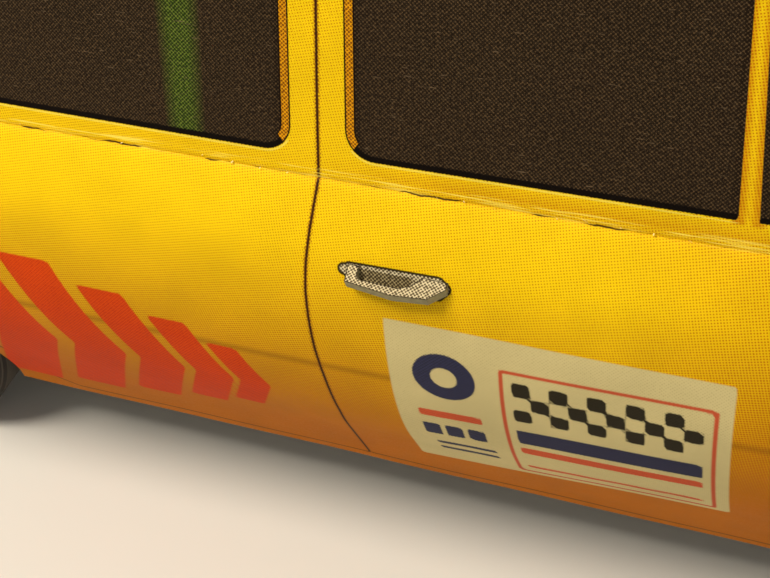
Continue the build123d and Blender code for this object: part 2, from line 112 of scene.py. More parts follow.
# Along the car: how much narrower the body is there, how much lower its crease, higher its sill
STATIONS = np.array(
    [(TAIL_X - 4, 3.9, 2.4, 5.0), (TAIL_X + 7, 1.5, 1.0, 2.4), (TAIL_X + 18, 0.4, 0.3, 0.6)]
    + [(-47, 0, 0, 0), (43, 0, 0, 0)]
    + [(NOSE_X - 18, 0.5, 0.5, 0.5), (NOSE_X - 8, 1.5, 1.3, 2.0), (NOSE_X + 4, 4.0, 3.0, 5.2)]
)
ROOF_EDGE = ((-45, -27, 0, 26, 44), (1.5, 0.25, 0, 0.25, 1.5))  # along the car, and drop
SHOULDER_LENGTH = SHOULDER_RADIUS * (FOLD_ANGLE - WAIST_ANGLE)
TUCK_START = SHOULDER_LENGTH + FLANK_RADIUS * (WAIST_ANGLE + TUCK_ANGLE)
FLANK_LENGTH = TUCK_START + SILL_RUN


def flank_slopes(down):
    """The angle that each of the two bends has reached, a distance below the crease."""
    bend = np.clip(down - SHOULDER_LENGTH, 0, TUCK_START - SHOULDER_LENGTH)
    shoulder = FOLD_ANGLE - np.minimum(down, SHOULDER_LENGTH) / SHOULDER_RADIUS
    return shoulder, WAIST_ANGLE - bend / FLANK_RADIUS


def flank_profile(down):
    """How far out and how far down the flank has gone, a distance below the crease."""
    first, second = flank_slopes(down)
    run = np.maximum(down - TUCK_START, 0)
    out = SHOULDER_RADIUS * (np.cos(first) - math.cos(FOLD_ANGLE))
    out += FLANK_RADIUS * (np.cos(second) - math.cos(WAIST_ANGLE)) - run * math.sin(TUCK_ANGLE)
    drop = SHOULDER_RADIUS * (math.sin(FOLD_ANGLE) - np.sin(first))
    drop += FLANK_RADIUS * (math.sin(WAIST_ANGLE) - np.sin(second)) + run * math.cos(TUCK_ANGLE)
    return out, drop


BULGE = float(flank_profile(SHOULDER_LENGTH + FLANK_RADIUS * WAIST_ANGLE)[0])
FLANK_HEIGHT = float(flank_profile(FLANK_LENGTH)[1])
FOLD_Y = HALF_WIDTH - BULGE


def flank_point(x, down):
    """Y and Z of the left flank, at a place along the car and a distance below the crease."""
    narrower, lower, raised = (np.interp(x, STATIONS[:, 0], STATIONS[:, k]) for k in (1, 2, 3))
    size = (FLANK_HEIGHT - lower - raised) / FLANK_HEIGHT
    out, drop = flank_profile(down)
    return HALF_WIDTH - narrower + (out - BULGE) * size, FOLD_Z - lower - drop * size


print("flat height of a flank:", round(FLANK_LENGTH, 2), "crease at Y", round(FOLD_Y, 2))

# %% [markdown]
# ## The grid of a side
# The columns are close together where fine print needs them and follow each wheel arch evenly.
# A column inside an arch stops at the arch's edge, so that the cut edge is a clean curve and no
# Boolean is needed. Above the crease the same columns lean with the pillars.


# %% Rows and columns of the grid
def steps(*stops):
    """Places from (start, spacing) pairs up to a last stop."""
    places = []
    for (start, spacing), (end, _) in zip(stops, stops[1:]):
        count = max(1, round((end - start) / spacing))
        places += [start + (end - start) * k / count for k in range(count)]
    return places + [stops[-1][0]]


def arch_steps(centre, count=52):
    return [centre - ARCH_RADIUS * math.cos(math.pi * k / count) for k in range(count + 1)]


rear_arch, front_arch = arch_steps(AXLE_X["rear"]), arch_steps(AXLE_X["front"])
doors = [(rear_arch[-1], 0.4), (-25.5, 0.4), (-23.2, 0.35), (2.4, 0.16), (10.0, 0.35)]
COLUMNS = steps((TAIL_X, 0.9), (rear_arch[0], 0))[:-1] + rear_arch
COLUMNS += steps(*doors, (front_arch[0], 0))[1:-1] + front_arch
COLUMNS += steps((front_arch[-1], 0.9), (NOSE_X, 0))[1:]
COLUMNS = np.array(sorted(set(COLUMNS) | {BACKLIGHT_FOOT_X, SCREEN_FOOT_X}))
BELOW = steps((0, 0.07), (0.35, 0.13), (1.0, 0.35), (4.3, 0.14), (6.6, 0.35), (FLANK_LENGTH, 0))
BELOW = np.array(BELOW)
ABOVE = np.array(steps((0, 0.07), (0.35, 0.13), (1.0, 0.22), (3.4, 0.4), (15.9, 0)))[1:]
TINY = 1e-6
print("columns:", len(COLUMNS), "rows below and above the crease:", len(BELOW), len(ABOVE))

# %% [markdown]
# ## Dents, waves and the flank's points
# A folded sheet isn't perfect: it is crushed along the crease and waves a little where the glue
# pulled it. Noise could do that, but two short formulas give the same sheet on every run. The
# columns are then cut at the arches and bent in at both ends, where the end panels are bowed.


# %% Points of the flank
def crease_dent(down, x):
    """How far the sheet is crushed inwards along the crease, in mm."""
    wander = 0.5 + 0.5 * np.sin(x * 1.7 + 2 * np.sin(x * 0.41)) * np.sin(x * 0.63 + 1)
    sharp = 0.05 * np.exp(-((down / 0.11) ** 2))
    soft = 0.05 * wander * np.exp(-(((down - 0.5) / 0.5) ** 2))
    return sharp - soft


def flat_waves(down, x):
    """Slow waves that glue and fingers leave in a card panel, in mm."""
    return 0.035 * np.sin(x * 0.33 + down * 0.2) * np.sin(down * 0.37 + x * 0.11)


def flank_grid():
    """Places along the car and below the crease, and how far down each column reaches."""
    x, down = np.meshgrid(COLUMNS, BELOW, indexing="ij")
    reach = np.full(len(COLUMNS), FLANK_LENGTH)
    dense = np.linspace(0, FLANK_LENGTH, 400)
    for centre in AXLE_X.values():
        for i, place in enumerate(COLUMNS):
            off = abs(place - centre)
            if off < ARCH_RADIUS + TINY:
                top = TYRE_RADIUS + math.sqrt(max(ARCH_RADIUS**2 - off**2, 0))
                reach[i] = np.interp(-top, -flank_point(place, dense)[1], dense)
    inside = reach < FLANK_LENGTH - TINY
    for centre in AXLE_X.values():
        inside &= np.abs(np.abs(COLUMNS - centre) - ARCH_RADIUS) > TINY
    down = np.where(inside[:, None], np.minimum(down, reach[:, None]), down)
    z = flank_point(x, down)[1]
    for centre in AXLE_X.values():
        pull = ARCH_RADIUS - np.sqrt(ARCH_RADIUS**2 - np.maximum(TYRE_RADIUS - z, 0) ** 2)
        off = x - centre
        near = np.clip(1 - (np.abs(off) - ARCH_RADIUS) / 4, 0, 1)
        x = np.where(np.abs(off) > ARCH_RADIUS - TINY, x - np.sign(off) * pull * near, x)
    column = np.broadcast_to(COLUMNS[:, None], x.shape)
    past_nose = (column - BOW_START) / (NOSE_X - BOW_START)
    past_tail = (column + BOW_START) / (TAIL_X + BOW_START)
    for _ in range(3):
        y = flank_point(x, down)[0]
        nose = NOSE_X - NOSE_RADIUS + np.sqrt((NOSE_RADIUS - CARD) ** 2 - y**2)
        tail = TAIL_X + TAIL_RADIUS - np.sqrt((TAIL_RADIUS - CARD) ** 2 - y**2)
        x = np.where(past_nose > 0, BOW_START + past_nose * (nose - BOW_START), x)
        x = np.where(past_tail > 0, past_tail * (tail + BOW_START) - BOW_START, x)
    return x, down, reach


print("points in a flank's grid:", flank_grid()[0].size)

# %% [markdown]
# ## The window band
# Above the crease the sheet is flat and leans in by the pillars' angle. Its columns draw together
# towards the roof, and its top row follows the roof's curved edge, whose height depends on where
# a column ends. The same sum, done a few times over, settles that.


# %% Points of the window band
def window_band():
    """The columns that carry the cabin, and X, Y, Z and place below the crease of its points."""
    cabin = np.where((COLUMNS > BACKLIGHT_FOOT_X - TINY) & (COLUMNS < SCREEN_FOOT_X + TINY))[0]
    share = (COLUMNS[cabin] - BACKLIGHT_FOOT_X) / (SCREEN_FOOT_X - BACKLIGHT_FOOT_X)
    up = np.broadcast_to(ABOVE, (len(cabin), len(ABOVE)))
    x = np.broadcast_to(COLUMNS[cabin][:, None], up.shape)
    for _ in range(4):
        top = EAVES_Z - np.interp(x, *ROOF_EDGE) - CARD
        height = (top - FOLD_Z) * up / ABOVE[-1]
        lean = height / (EAVES_Z - FOLD_Z)
        rear = BACKLIGHT_FOOT_X + (BACKLIGHT_TOP_X - BACKLIGHT_FOOT_X) * lean
        fore = SCREEN_FOOT_X + (SCREEN_TOP_X - SCREEN_FOOT_X) * lean
        x = rear + (fore - rear) * share[:, None]
    down = -height / math.cos(PILLAR_ANGLE)
    dent = crease_dent(down, x)
    y = FOLD_Y - height * math.tan(PILLAR_ANGLE) - dent * math.cos(PILLAR_ANGLE)
    return cabin, x, y, FOLD_Z + height - dent * math.sin(PILLAR_ANGLE), down


print("columns that carry the cabin:", len(window_band()[0]))

# %% [markdown]
# ## From two grids to a mesh
# Both grids become one mesh, with the crease as the row that they share. The place on the flat
# sheet could be a UV map, but an attribute in millimetres is stored on the points themselves, so
# it stays with them through welding and thickness and reaches the shader unscaled.


# %% The sheet as a mesh
def store(mesh, name, values):
    """Keep a number or a vector for each point of a mesh, as a named attribute."""
    values = np.asarray(values, np.float32)
    kind, field = ("FLOAT", "value") if values.ndim == 1 else ("FLOAT_VECTOR", "vector")
    mesh.attributes.new(name, kind, "POINT").data.foreach_set(field, values.ravel())


def store_flat(mesh, flat):
    """Keep each point's place on the flat sheet."""
    store(mesh, "flat", np.pad(flat, ((0, 0), (0, 1))))


def weld(mesh, near, thin):
    """Drop loose points, join near ones and drop faces without area, with distances in mm."""
    work = bmesh.new()
    work.from_mesh(mesh)
    loose = [v for v in work.verts if not v.link_faces]
    bmesh.ops.delete(work, geom=loose, context="VERTS")
    bmesh.ops.remove_doubles(work, verts=work.verts, dist=near * MM)
    bmesh.ops.dissolve_degenerate(work, edges=work.edges, dist=thin * MM)
    work.to_mesh(mesh)
    work.free()


def side_sheet(name, hand):
    """The sheet as a mesh, with each point's place on the flat sheet."""
    x, down, reach = flank_grid()
    y, z = flank_point(x, down)
    slope = np.where(down < SHOULDER_LENGTH, *flank_slopes(down))
    inwards = crease_dent(down, x) + flat_waves(down, x) * np.clip(down / 3, 0, 1)
    y = y - inwards * np.cos(slope)
    z = z - inwards * np.sin(slope)
    cabin, band_x, band_y, band_z, band_down = window_band()
    points = (np.append(x, band_x), np.append(y, band_y) * hand, np.append(z, band_z))
    rows, lanes = len(BELOW), len(ABOVE)
    faces = []
    for i in range(len(COLUMNS) - 1):
        limit = max(reach[i], reach[i + 1]) - TINY
        for j in range(rows - 1):
            if BELOW[j] < limit:
                a, b = i * rows + j, (i + 1) * rows + j
                faces.append((a, a + 1, b + 1, b))
    for k in range(len(cabin) - 1):
        a, b = cabin[k] * rows, cabin[k + 1] * rows
        c, d = x.size + k * lanes, x.size + (k + 1) * lanes
        faces.append((a, b, d, c))
        faces += [(c + j, d + j, d + j + 1, c + j + 1) for j in range(lanes - 1)]
    if hand > 0:
        faces = [face[::-1] for face in faces]
    mesh = bpy.data.meshes.new(name)
    mesh.from_pydata(np.stack(points, -1) * MM, [], faces)
    store_flat(mesh, np.stack([np.append(x, band_x), np.append(down, band_down)], -1))
    weld(mesh, 0.002, 0.001)
    return mesh


side_mesh = {"right": side_sheet("side_right_card", -1), "left": side_sheet("side_left_card", 1)}
print("faces in one side's grid:", len(side_mesh["right"].polygons))

# %% [markdown]
# ## Ink as distance
# A picture wrapped on the mesh would be the usual way to print it, but here the print is drawn by
# rule. For each ink, every point of the mesh stores how deep it lies inside the inked shape, in
# millimetres, and the shader inks whatever is above zero. Between two points the distance changes
# evenly, so a straight edge stays sharp at any zoom, even on a grid of a third of a millimetre.

# %% Distances on the flat sheet
INKS = ("tone", "swage", "gap", "rear_gap", "stripe", "silver", "cup", "label", "frame", "red")
INKS += ("blue", "black", "rim", "glass", "gasket", "tube", "trim", "wiper", "crease")
BLANK = -9.0  # an ink that is nowhere near


def distance_to_path(points, path):
    """Distance from each point to an open path, in mm."""
    nearest = np.full(len(points), 1000.0)
    for (x0, y0), (x1, y1) in zip(path, path[1:]):
        dx, dy = x1 - x0, y1 - y0
        along = (points[:, 0] - x0) * dx + (points[:, 1] - y0) * dy
        along = np.clip(along / (dx * dx + dy * dy), 0, 1)
        gap = np.hypot(points[:, 0] - x0 - along * dx, points[:, 1] - y0 - along * dy)
        nearest = np.minimum(nearest, gap)
    return nearest


def depth_inside(points, outline, rounding=0.0):
    """Depth inside an outline, in mm, negative outside. Rounding grows it with round corners."""
    closed = list(outline) + [outline[0]]
    within = np.zeros(len(points), bool)
    for (x0, y0), (x1, y1) in zip(closed, closed[1:]):
        if y0 != y1:
            crossing = (x1 - x0) * (points[:, 1] - y0) / (y1 - y0) + x0
            within ^= ((y0 > points[:, 1]) != (y1 > points[:, 1])) & (points[:, 0] < crossing)
    edge = distance_to_path(points, closed)
    return np.where(within, edge, -edge) + rounding


def box(left, top, right, low):
    return [(left, top), (right, top), (right, low), (left, low)]


def deepest(points, outlines, rounding=0.0):
    """Depth inside the nearest of several outlines."""
    return np.max([depth_inside(points, outline, rounding) for outline in outlines], 0)


def lay_ink(mesh, **inks):
    """Store each ink's depth on the mesh's points, and leave the other inks blank."""
    for name in INKS:
        depth = inks.get(name, 0.0 if name == "tone" else BLANK)
        store(mesh, name, np.broadcast_to(depth, len(mesh.vertices)))


def read(items, field):
    """A vector of each point or face of a mesh, as the rows of an array."""
    values = np.zeros(len(items) * 3, np.float32)
    items.foreach_get(field, values)
    return values.reshape(-1, 3).astype(float)


print("inks:", ", ".join(INKS))

# %% [markdown]
# ## What is printed on a side
# Three windows with dark glass, the trim strips beside the pillars, the door gaps, a soft swage
# line, the plate of each door grip, a blank entry label with plain bands and blocks, and a run of
# slanted speed bars. Places are along the car and down from the crease, so windows are negative.

# %% Artwork of a side
REAR_GLASS = [(-25.35, -3.18), (-2.56, -3.12), (-2.4, -12.6), (-23.2, -12.6)]
FRONT_GLASS = [(4.42, -3.33), (30, -3.57), (30, -12.6), (4.48, -12.6)]
QUARTER_GLASS = [(20, -3.5), (34.15, -3.65), (29.05, -12.6), (20, -12.6)]
GLASS_ROUND = 1.8
TRIM_WIDTH = 0.65
TRIM_LAP = 0.1  # how far the glass runs on below the strip of trim
PILLARS_X = (-0.6, 2.9, -27.2, 35.5, 31.5)
BAR_LEFT, BAR_RIGHT = (25.05, 24.4), (26.2, 25.2)  # the quarter bar, at the crease and 15 mm up
TUBE_X, TUBE_HALF = -7.6, 0.9
SEAM = [(1.15, -15.0), (0.95, -4.9), (0.9, -0.2), (0.92, 0.6), (0.84, 2.2), (0.73, 3.75)]
SEAM += [(0.62, 5.35), (0.56, 7.1), (0.6, 8.9), (0.72, 11.4), (0.95, 14.5), (1.1, 18.6)]
SEAM += [(0.85, 28.0)]
FRONT_DOOR = SEAM + [(33.6, 28.2), (34.5, 27.2), (34.8, 25.0), (34.8, 3.0), (35.1, 0.2)]
FRONT_DOOR += [(36.9, -1.3), (29.2, -15.0)]
REAR_DOOR = SEAM + [(-22.6, 28.0), (-24.4, 26.6), (-25.6, 23.0), (-27.2, 18.0), (-29.2, 14.0)]
REAR_DOOR += [(-31.2, 9.6), (-31.8, 6.0), (-31.9, 0.4), (-32.6, -1.0), (-29.6, -15.0)]
FUEL_FLAP = box(-53.4, 6.6, -50.0, 10.0)
SWAGE = ((-70, -18.6, -7.5, 4.9, 18.6, 28.4, 70), (13.6, 13.46, 13.27, 13.06, 12.8, 12.32, 12.0))
GRIP_PLACES = (0.0, -32.8)  # the front door's grip, and how far back the rear door's lies
GRIP_PLATE = [(3.4, 4.95), (8.9, 4.85), (9.35, 5.2), (8.9, 5.7), (3.5, 5.8)]
GRIP_CUP = [(4.1, 5.05), (7.2, 5.05), (6.9, 5.6), (4.1, 5.6)]
GRIP_BUTTON = (3.05, 5.12)
CHEVRON_MIDDLE = 17.2
# Speed bars: back end along the car, width, half height
CHEVRONS = ((-28.0, 4.4, 9.6), (-21.4, 3.7, 8.2), (-15.7, 3.1, 6.7), (-10.9, 2.5, 5.2))
CHEVRONS += ((-7.0, 1.9, 3.7),)
LABEL = [(5.48, 7.98), (26.27, 7.89), (26.24, 21.9), (5.62, 24.3)]
# On the label, left, top, right and low edges as shares of its width and height
FIELD = (0.345, 0.15, 0.955, 0.96)
BLOCKS = {
    "red": [(0.375, 0.66, 0.925, 0.72), (0.375, 0.87, 0.925, 0.9), (0.07, 0.47, 0.27, 0.52)],
    "blue": [(0.375, 0.51, 0.925, 0.62), (0.09, 0.76, 0.29, 0.79), (0.09, 0.83, 0.29, 0.86)]
    + [(0.07 + k * 0.072, 0.58, 0.126 + k * 0.072, 0.68) for k in range(3)],
    "black": [
        (0.375 + 0.055 * k, 0.2 + 0.08 * row, 0.43 + 0.055 * k, 0.28 + 0.08 * row)
        for k in range(10)
        for row in range(3)
        if (k + row) % 2 == 0
    ],
}
ROUNDEL, ROUNDEL_RADIUS, ROUNDEL_BAND = (0.17, 0.25), 2.0, 1.15
print("points on the seam:", len(SEAM), "blocks on the label:", sum(map(len, BLOCKS.values())))

# %% [markdown]
# ## Label, grip plates and speed bars
# The label lies a little askew on the bulging door, so its blocks are given as shares of its
# width and height and are then placed between its four corners. Where several shapes wear one
# ink, the depth in the nearest of them counts.


# %% Inks of the label, the grips and the speed bars
def in_label(along, down):
    """A place on the sheet from shares of the label's width and height."""
    (ax, ay), (bx, by), (cx, cy), (dx, dy) = LABEL
    top = (ax + (bx - ax) * along, ay + (by - ay) * along)
    low = (dx + (cx - dx) * along, dy + (cy - dy) * along)
    return (top[0] + (low[0] - top[0]) * down, top[1] + (low[1] - top[1]) * down)


def label_blocks(points, blocks):
    return deepest(points, [[in_label(*corner) for corner in box(*block)] for block in blocks])


def label_inks(points):
    label = depth_inside(points, LABEL)
    inks = {name: label_blocks(points, blocks) for name, blocks in BLOCKS.items()}
    roundel = ROUNDEL_RADIUS - np.hypot(*(points - in_label(*ROUNDEL)).T)
    inks["blue"] = np.maximum(inks["blue"], np.minimum(roundel, ROUNDEL_BAND - roundel))
    inks = {name: np.where(label > 0, depth, BLANK) for name, depth in inks.items()}
    return inks | {"label": label, "frame": label_blocks(points, [FIELD])}


def grip_inks(points):
    """The plate, the cup and the button that are printed behind each grip."""
    silver = cup = np.full(len(points), BLANK)
    for back in GRIP_PLACES:
        local = points - (back, 0)
        button = 0.34 - np.hypot(*(local - GRIP_BUTTON).T)
        silver = np.max([silver, button, depth_inside(local, GRIP_PLATE, 0.3)], 0)
        cup = np.maximum(cup, depth_inside(local, GRIP_CUP, 0.15))
    return {"silver": silver, "cup": cup}


def speed_bars():
    for back, width, half in CHEVRONS:
        tip = back + 0.42 * half
        high, low = CHEVRON_MIDDLE - half, CHEVRON_MIDDLE + half
        shape = [(back, high), (back + width, high), (tip + width, CHEVRON_MIDDLE)]
        yield shape + [(back + width, low), (back, low), (tip, CHEVRON_MIDDLE)]


print("middle of the label:", [round(c, 2) for c in in_label(0.5, 0.5)])

# %% [markdown]
# ## Windows, and the whole side
# The three panes have round corners, and the quarter bar cuts two of them apart. The trim stands
# only beside the pillars, where it ends in slanted feet. The tone comes last: it says how big the
# orange dots are. The printer makes them larger towards the sill, and there the deeper tone is
# also partly painted shade; ahead of the front door it is deepened further as painted shade.


# %% Inks of the windows and the whole side
def window_inks(points):
    """Glass, gasket, trim and what shows through, and as tone the shading of the quarter bar."""
    x, up = points[:, 0], -points[:, 1]
    left, right = np.interp(up, (0, 15), BAR_LEFT), np.interp(up, (0, 15), BAR_RIGHT)
    panes = [depth_inside(points, p, GLASS_ROUND) for p in (REAR_GLASS, FRONT_GLASS, QUARTER_GLASS)]
    rear, front, quarter = panes
    glass = np.max([rear, np.minimum(front, left - x), np.minimum(quarter, x - right)], 0)
    rim_end = np.interp(x, (8, 20), (2.1, 1.78))
    rear_foot = (x + 1.57) * 0.805 + (up - 2.17) * 0.593
    fore_foot = (3.46 - x) * 0.835 + (up - 2.47) * 0.55
    foot = np.where(x < SEAM[2][0], rear_foot, fore_foot)
    foot = np.where(np.abs(x - SEAM[2][0]) < 6, foot, up - 1.95 - 0.6 * glass)
    by_pillar = 4 - np.min([np.abs(x - pillar) for pillar in PILLARS_X], 0)
    tube_half = TUBE_HALF + 0.018 * (up - 1.9)
    bar = ((x > left - 0.25) & (x < right + 0.25) & (up > 1.6)) * 0.45
    return {
        "glass": glass,
        "gasket": np.interp(up, (2.2, 3.4), (0.38, 0.08)) - np.max(panes, 0),
        "rim": np.where((up > 0.9) & (up < rim_end), glass + 0.11, BLANK),
        "trim": np.min([foot, 13.85 - up - 0.6 * glass, by_pillar], 0),
        "tube": np.where(glass > 0.2, tube_half - np.abs(x - TUBE_X), BLANK),
        "tone": bar * np.clip(np.abs(x - (left + right) / 2) / 0.3 - 0.2, 0, 1),
    }


def side_inks(points):
    """The depth of every ink on a side's sheet."""
    x, down = points.T
    inks = window_inks(points) | label_inks(points) | grip_inks(points)
    near_glass = np.clip(1 - np.abs(down + 0.7) / 0.9, 0, 1) * (down < 0)
    near_glass = near_glass * np.interp(x, (-24, 1, 9), (0.0, 0.1, 1))
    # Painted shade: the tone deepens from the front door on towards the front wheel, in place of
    # light that falls off there.
    painted_shade_ahead = np.interp(x, (19, 31, 40, 60), (0, 0.22, 0.2, 0)) * (down > 0)
    # Deeper tone towards the sill: partly the print's own shading, partly painted shade for light
    # falling off down the flank.
    low = np.clip((down - 4) / 20, 0, 1)
    inks["tone"] = inks["tone"] + 0.16 + 0.24 * near_glass + 0.85 * low + painted_shade_ahead
    inks["swage"] = down - np.interp(x, *SWAGE)
    inks["gap"] = np.maximum(depth_inside(points, FRONT_DOOR), depth_inside(points, FUEL_FLAP, 0.4))
    inks["rear_gap"] = depth_inside(points, REAR_DOOR)
    inks["stripe"] = deepest(points, speed_bars(), 0.12)
    inks["crease"] = np.clip(down, -8, 8) + np.where(np.abs(x) < 41, 0, 0.3)
    return inks


for mesh in side_mesh.values():
    lay_ink(mesh, **side_inks(read(mesh.attributes["flat"].data, "vector")[:, :2]))
print("points that carry ink:", len(side_mesh["right"].vertices))

# %% [markdown]
# ## The other sheets
# Roof, screens, bonnet, boot and end panels keep the exact shape of their solids. A copy of each
# solid's mesh has its doubles merged and is then sliced by rows of planes, so that it too has
# points close enough together to carry ink, without a point leaving the surface.


# %% Slice copies of the panels
def merged_copy(node):
    """A copy of a solid's mesh with its loose triangles joined."""
    mesh = nodes[node].data.copy()
    mesh.name = node + "_card"
    mesh.materials.clear()
    weld(mesh, 0.0005, 0.0002)
    return mesh


def slice_mesh(mesh, axes, spacing):
    """Cut a mesh by evenly spaced planes across each axis."""
    work = bmesh.new()
    work.from_mesh(mesh)
    for axis in axes:
        places = [v.co[axis] for v in work.verts]
        count = int((max(places) - min(places)) / (spacing * MM))
        normal = Vector([1.0 if k == axis else 0.0 for k in range(3)])
        for k in range(1, count + 1):
            middle = normal * (min(places) + k * spacing * MM - spacing * MM / 2)
            parts = work.verts[:] + work.edges[:] + work.faces[:]
            bmesh.ops.bisect_plane(work, geom=parts, dist=1e-8, plane_co=middle, plane_no=normal)
    work.to_mesh(mesh)
    work.free()
    return mesh


FLAT_PANELS = ("roof", "bonnet", "boot_lid")
UPRIGHT_PANELS = ("windscreen", "rear_window", "front_panel", "rear_panel")
panel_mesh = {}
for name in FLAT_PANELS + UPRIGHT_PANELS:
    axes = (0, 1) if name in FLAT_PANELS else (1, 2)
    panel_mesh[name] = slice_mesh(merged_copy(name), axes, 0.55)
    print(name, "has", len(panel_mesh[name].vertices), "points")

# %% [markdown]
# ## What is printed on the other sheets
# The photograph shows one side only. A model of this kind has the same inks all round: door-gap
# lines for bonnet and boot, dark screens with a gasket line and trim, green cage tubes behind the
# rear window, and blank number plates.


# %% Inks of the roof, the bonnet and the boot lid
def mesh_points(mesh):
    return read(mesh.vertices, "co") / MM


def pillar_edge(z):
    """How far from the middle the cabin's side lies, at a height."""
    return FOLD_Y - (z - FOLD_Z) * math.tan(PILLAR_ANGLE)


def roof_inks(x, y, z):
    return {"gap": pillar_edge(z) - np.abs(y) - 1.1, "swage": np.abs(y) - 13, "tone": 0.15}


def lid_inks(x, y, z, front):
    """Bonnet or boot lid: the gap round it, the lines of its crown and its catches."""
    wide = np.abs(y)
    narrower = np.interp(x, STATIONS[:, 0], STATIONS[:, 1])
    back, fore = (44.6, NOSE_X - 2.2) if front else (TAIL_X + 2.2, -47.6)
    lid = np.min([x - back, fore - x, FOLD_Y - narrower - 2.4 - wide], 0)
    crown = np.interp(x, (46, 70), (11.5, 8.0)) if front else 12
    inks = {"gap": lid, "swage": np.where(lid > 0.4, wide - crown, BLANK), "tone": 0.2}
    inks["crease"] = np.maximum(narrower + wide - FOLD_Y, -8) - 0.05
    inks["silver"] = 0.8 - np.hypot(x + 69.2, y)
    if front:
        vents = [[(48.2 + k, 2.6), (48.2 + k, 9.0)] for k in (0, 1.1, 2.2, 3.3)]
        inks["cup"] = deepest(np.stack([x, wide], -1), vents, 0.22)
        inks["silver"] = 0.7 - np.hypot(x - 67.6, wide - 14.5)
    return inks


print("half width of the cabin at the eaves:", round(pillar_edge(EAVES_Z), 2))

# %% [markdown]
# ## Screens and end panels
# A screen's glass lies between two arcs, its sill and its brow, and keeps a frame of card round
# it. The end panels are plain, with a blank number plate low in the middle.


# %% Inks of the screens and the ends
def screen_sill(y):
    return FOLD_Z + 2.8 * (1 - (y / FOLD_Y) ** 2)


def screen_brow(y):
    return EAVES_Z - 0.6 + 2.3 * (1 - (y / 21.3) ** 2)


def screen_inks(x, y, z, front):
    """Windscreen or rear window: glass in a frame, with wipers before or cage tubes behind it."""
    flat = np.stack([y, z], -1)
    outline = [(-k, screen_sill(k) + 2.9) for k in np.linspace(-21, 21, 15)]
    outline += [(k, screen_brow(k) - 2.6) for k in np.linspace(-18, 18, 15)]
    glass = depth_inside(flat, outline, 1.4)
    inks = {"glass": glass + TRIM_WIDTH, "trim": 5, "tone": 0.3}
    inks["gasket"] = np.where(z < screen_sill(y) + 4, 0.4, 0.12) - glass
    inks["gap"] = np.minimum(pillar_edge(z) - np.abs(y), screen_brow(y) - z) - 0.5
    if front:
        wiper = 9.0 * np.sign(z - 38.5)
        for hub in (-5.5, 6.5):
            line = np.interp(y - hub, (-4.6, -2.4, 5.4), (36.9, 38.7, 39.0))
            wiper = np.where(np.abs(y - hub - 0.4) < 5, z - line, wiper)
        inks["wiper"] = wiper
    else:
        cross = [distance_to_path(flat, ((-17, a), (17, b))) for a, b in ((44, 30), (30, 44))]
        inks["tube"] = np.where(glass > 0.2, TUBE_HALF - np.min(cross, 0), BLANK)
    return inks


def end_inks(x, y, z, front):
    """Front or rear panel: a blank number plate, the shadow below and small lamps or a swage."""
    plate_low = 9.0 if front else 18.6
    plate = box(-5.6, plate_low, 5.6, plate_low + 2)
    label = depth_inside(np.stack([y, z], -1), plate, 0.3)
    inks = {"tone": 0.3 + 0.5 * np.clip((26 - z) / 14, 0, 1), "gap": z - 17.2}
    if front:
        corner = np.stack([np.abs(y), z], -1)
        inks["stripe"] = depth_inside(corner, box(21.6, 18.2, 23.6, 19.4), 0.5)
    else:
        inks["swage"] = z - 29.4
    return inks | {"silver": label + 0.08, "label": label}


PANEL_INKS = {  # what draws a panel's inks, and whether it lies in the front half
    "roof": (roof_inks,),
    "bonnet": (lid_inks, True),
    "boot_lid": (lid_inks, False),
    "windscreen": (screen_inks, True),
    "rear_window": (screen_inks, False),
    "front_panel": (end_inks, True),
    "rear_panel": (end_inks, False),
}
for name, mesh in panel_mesh.items():
    x, y, z = mesh_points(mesh).T
    draw, *half = PANEL_INKS[name]
    inks = draw(x, y, z, *half)
    store_flat(mesh, np.stack([x, y] if name in FLAT_PANELS else [y, z], -1))
    lay_ink(mesh, **inks)
    print(name, "inks:", ", ".join(sorted(inks)))

# %% [markdown]
# ## Printed card
# Offset print is dots. The yellow is a pale ground with orange dots, set at 14 degrees and about
# six to the millimetre, and deeper tones are bigger dots. The dark glass is the same idea at 45
# degrees with dots so big that they meet. A Voronoi texture without randomness is exactly such a
# screen, and a little noise makes its dots uneven.

# %% Material: offset print on coated card
SCREEN_PITCH = 0.1693  # 150 lines to the inch
card_print, tree = new_finish("offset_printed_card")
flat = add(tree, "ShaderNodeAttribute", attribute_name="flat").outputs["Vector"]
ink = {name: add(tree, "ShaderNodeAttribute", attribute_name=name).outputs["Fac"] for name in INKS}
mottle = add(tree, "ShaderNodeTexNoise", {"Vector": flat, "Scale": 0.22, "Detail": 4.0})
speck = add(tree, "ShaderNodeTexNoise", {"Vector": flat, "Scale": 5.0, "Detail": 3.0})
gain = add(tree, "ShaderNodeMath", {0: speck, 1: 0.5}, operation="SUBTRACT")
screens = {}
for name, degrees, spread in (("yellow", 14, 0.25), ("black", 45, 0.7)):
    turn = (0, 0, math.radians(degrees))
    turned = add(tree, "ShaderNodeMapping", {"Vector": flat, "Rotation": turn})
    grid = {"Vector": turned, "Scale": 1 / SCREEN_PITCH, "Randomness": 0.0}
    dots = add(tree, "ShaderNodeTexVoronoi", grid, voronoi_dimensions="2D")
    uneven = {0: gain, 1: spread, 2: dots}
    screens[name] = add(tree, "ShaderNodeMath", uneven, operation="MULTIPLY_ADD")
black_screen = screens["black"]

# The ground: bigger dots where the tone is deeper
tone = ink["tone"]
reach = add(tree, "ShaderNodeMath", {0: tone, 1: 0.34, 2: 0.16}, operation="MULTIPLY_ADD")
gap = add(tree, "ShaderNodeMath", {0: reach, 1: screens["yellow"]}, operation="SUBTRACT")
dot = add(tree, "ShaderNodeMapRange", {"Value": gap, "From Min": -0.11, "From Max": 0.11})
ground = add(tree, "ShaderNodeMix", {0: tone, 6: "#F8D610", 7: "#B86404"}, data_type="RGBA")
colour = add(tree, "ShaderNodeMix", {0: dot, 6: ground, 7: "#BE6E06"}, data_type="RGBA")
print("dot screens:", ", ".join(screens))

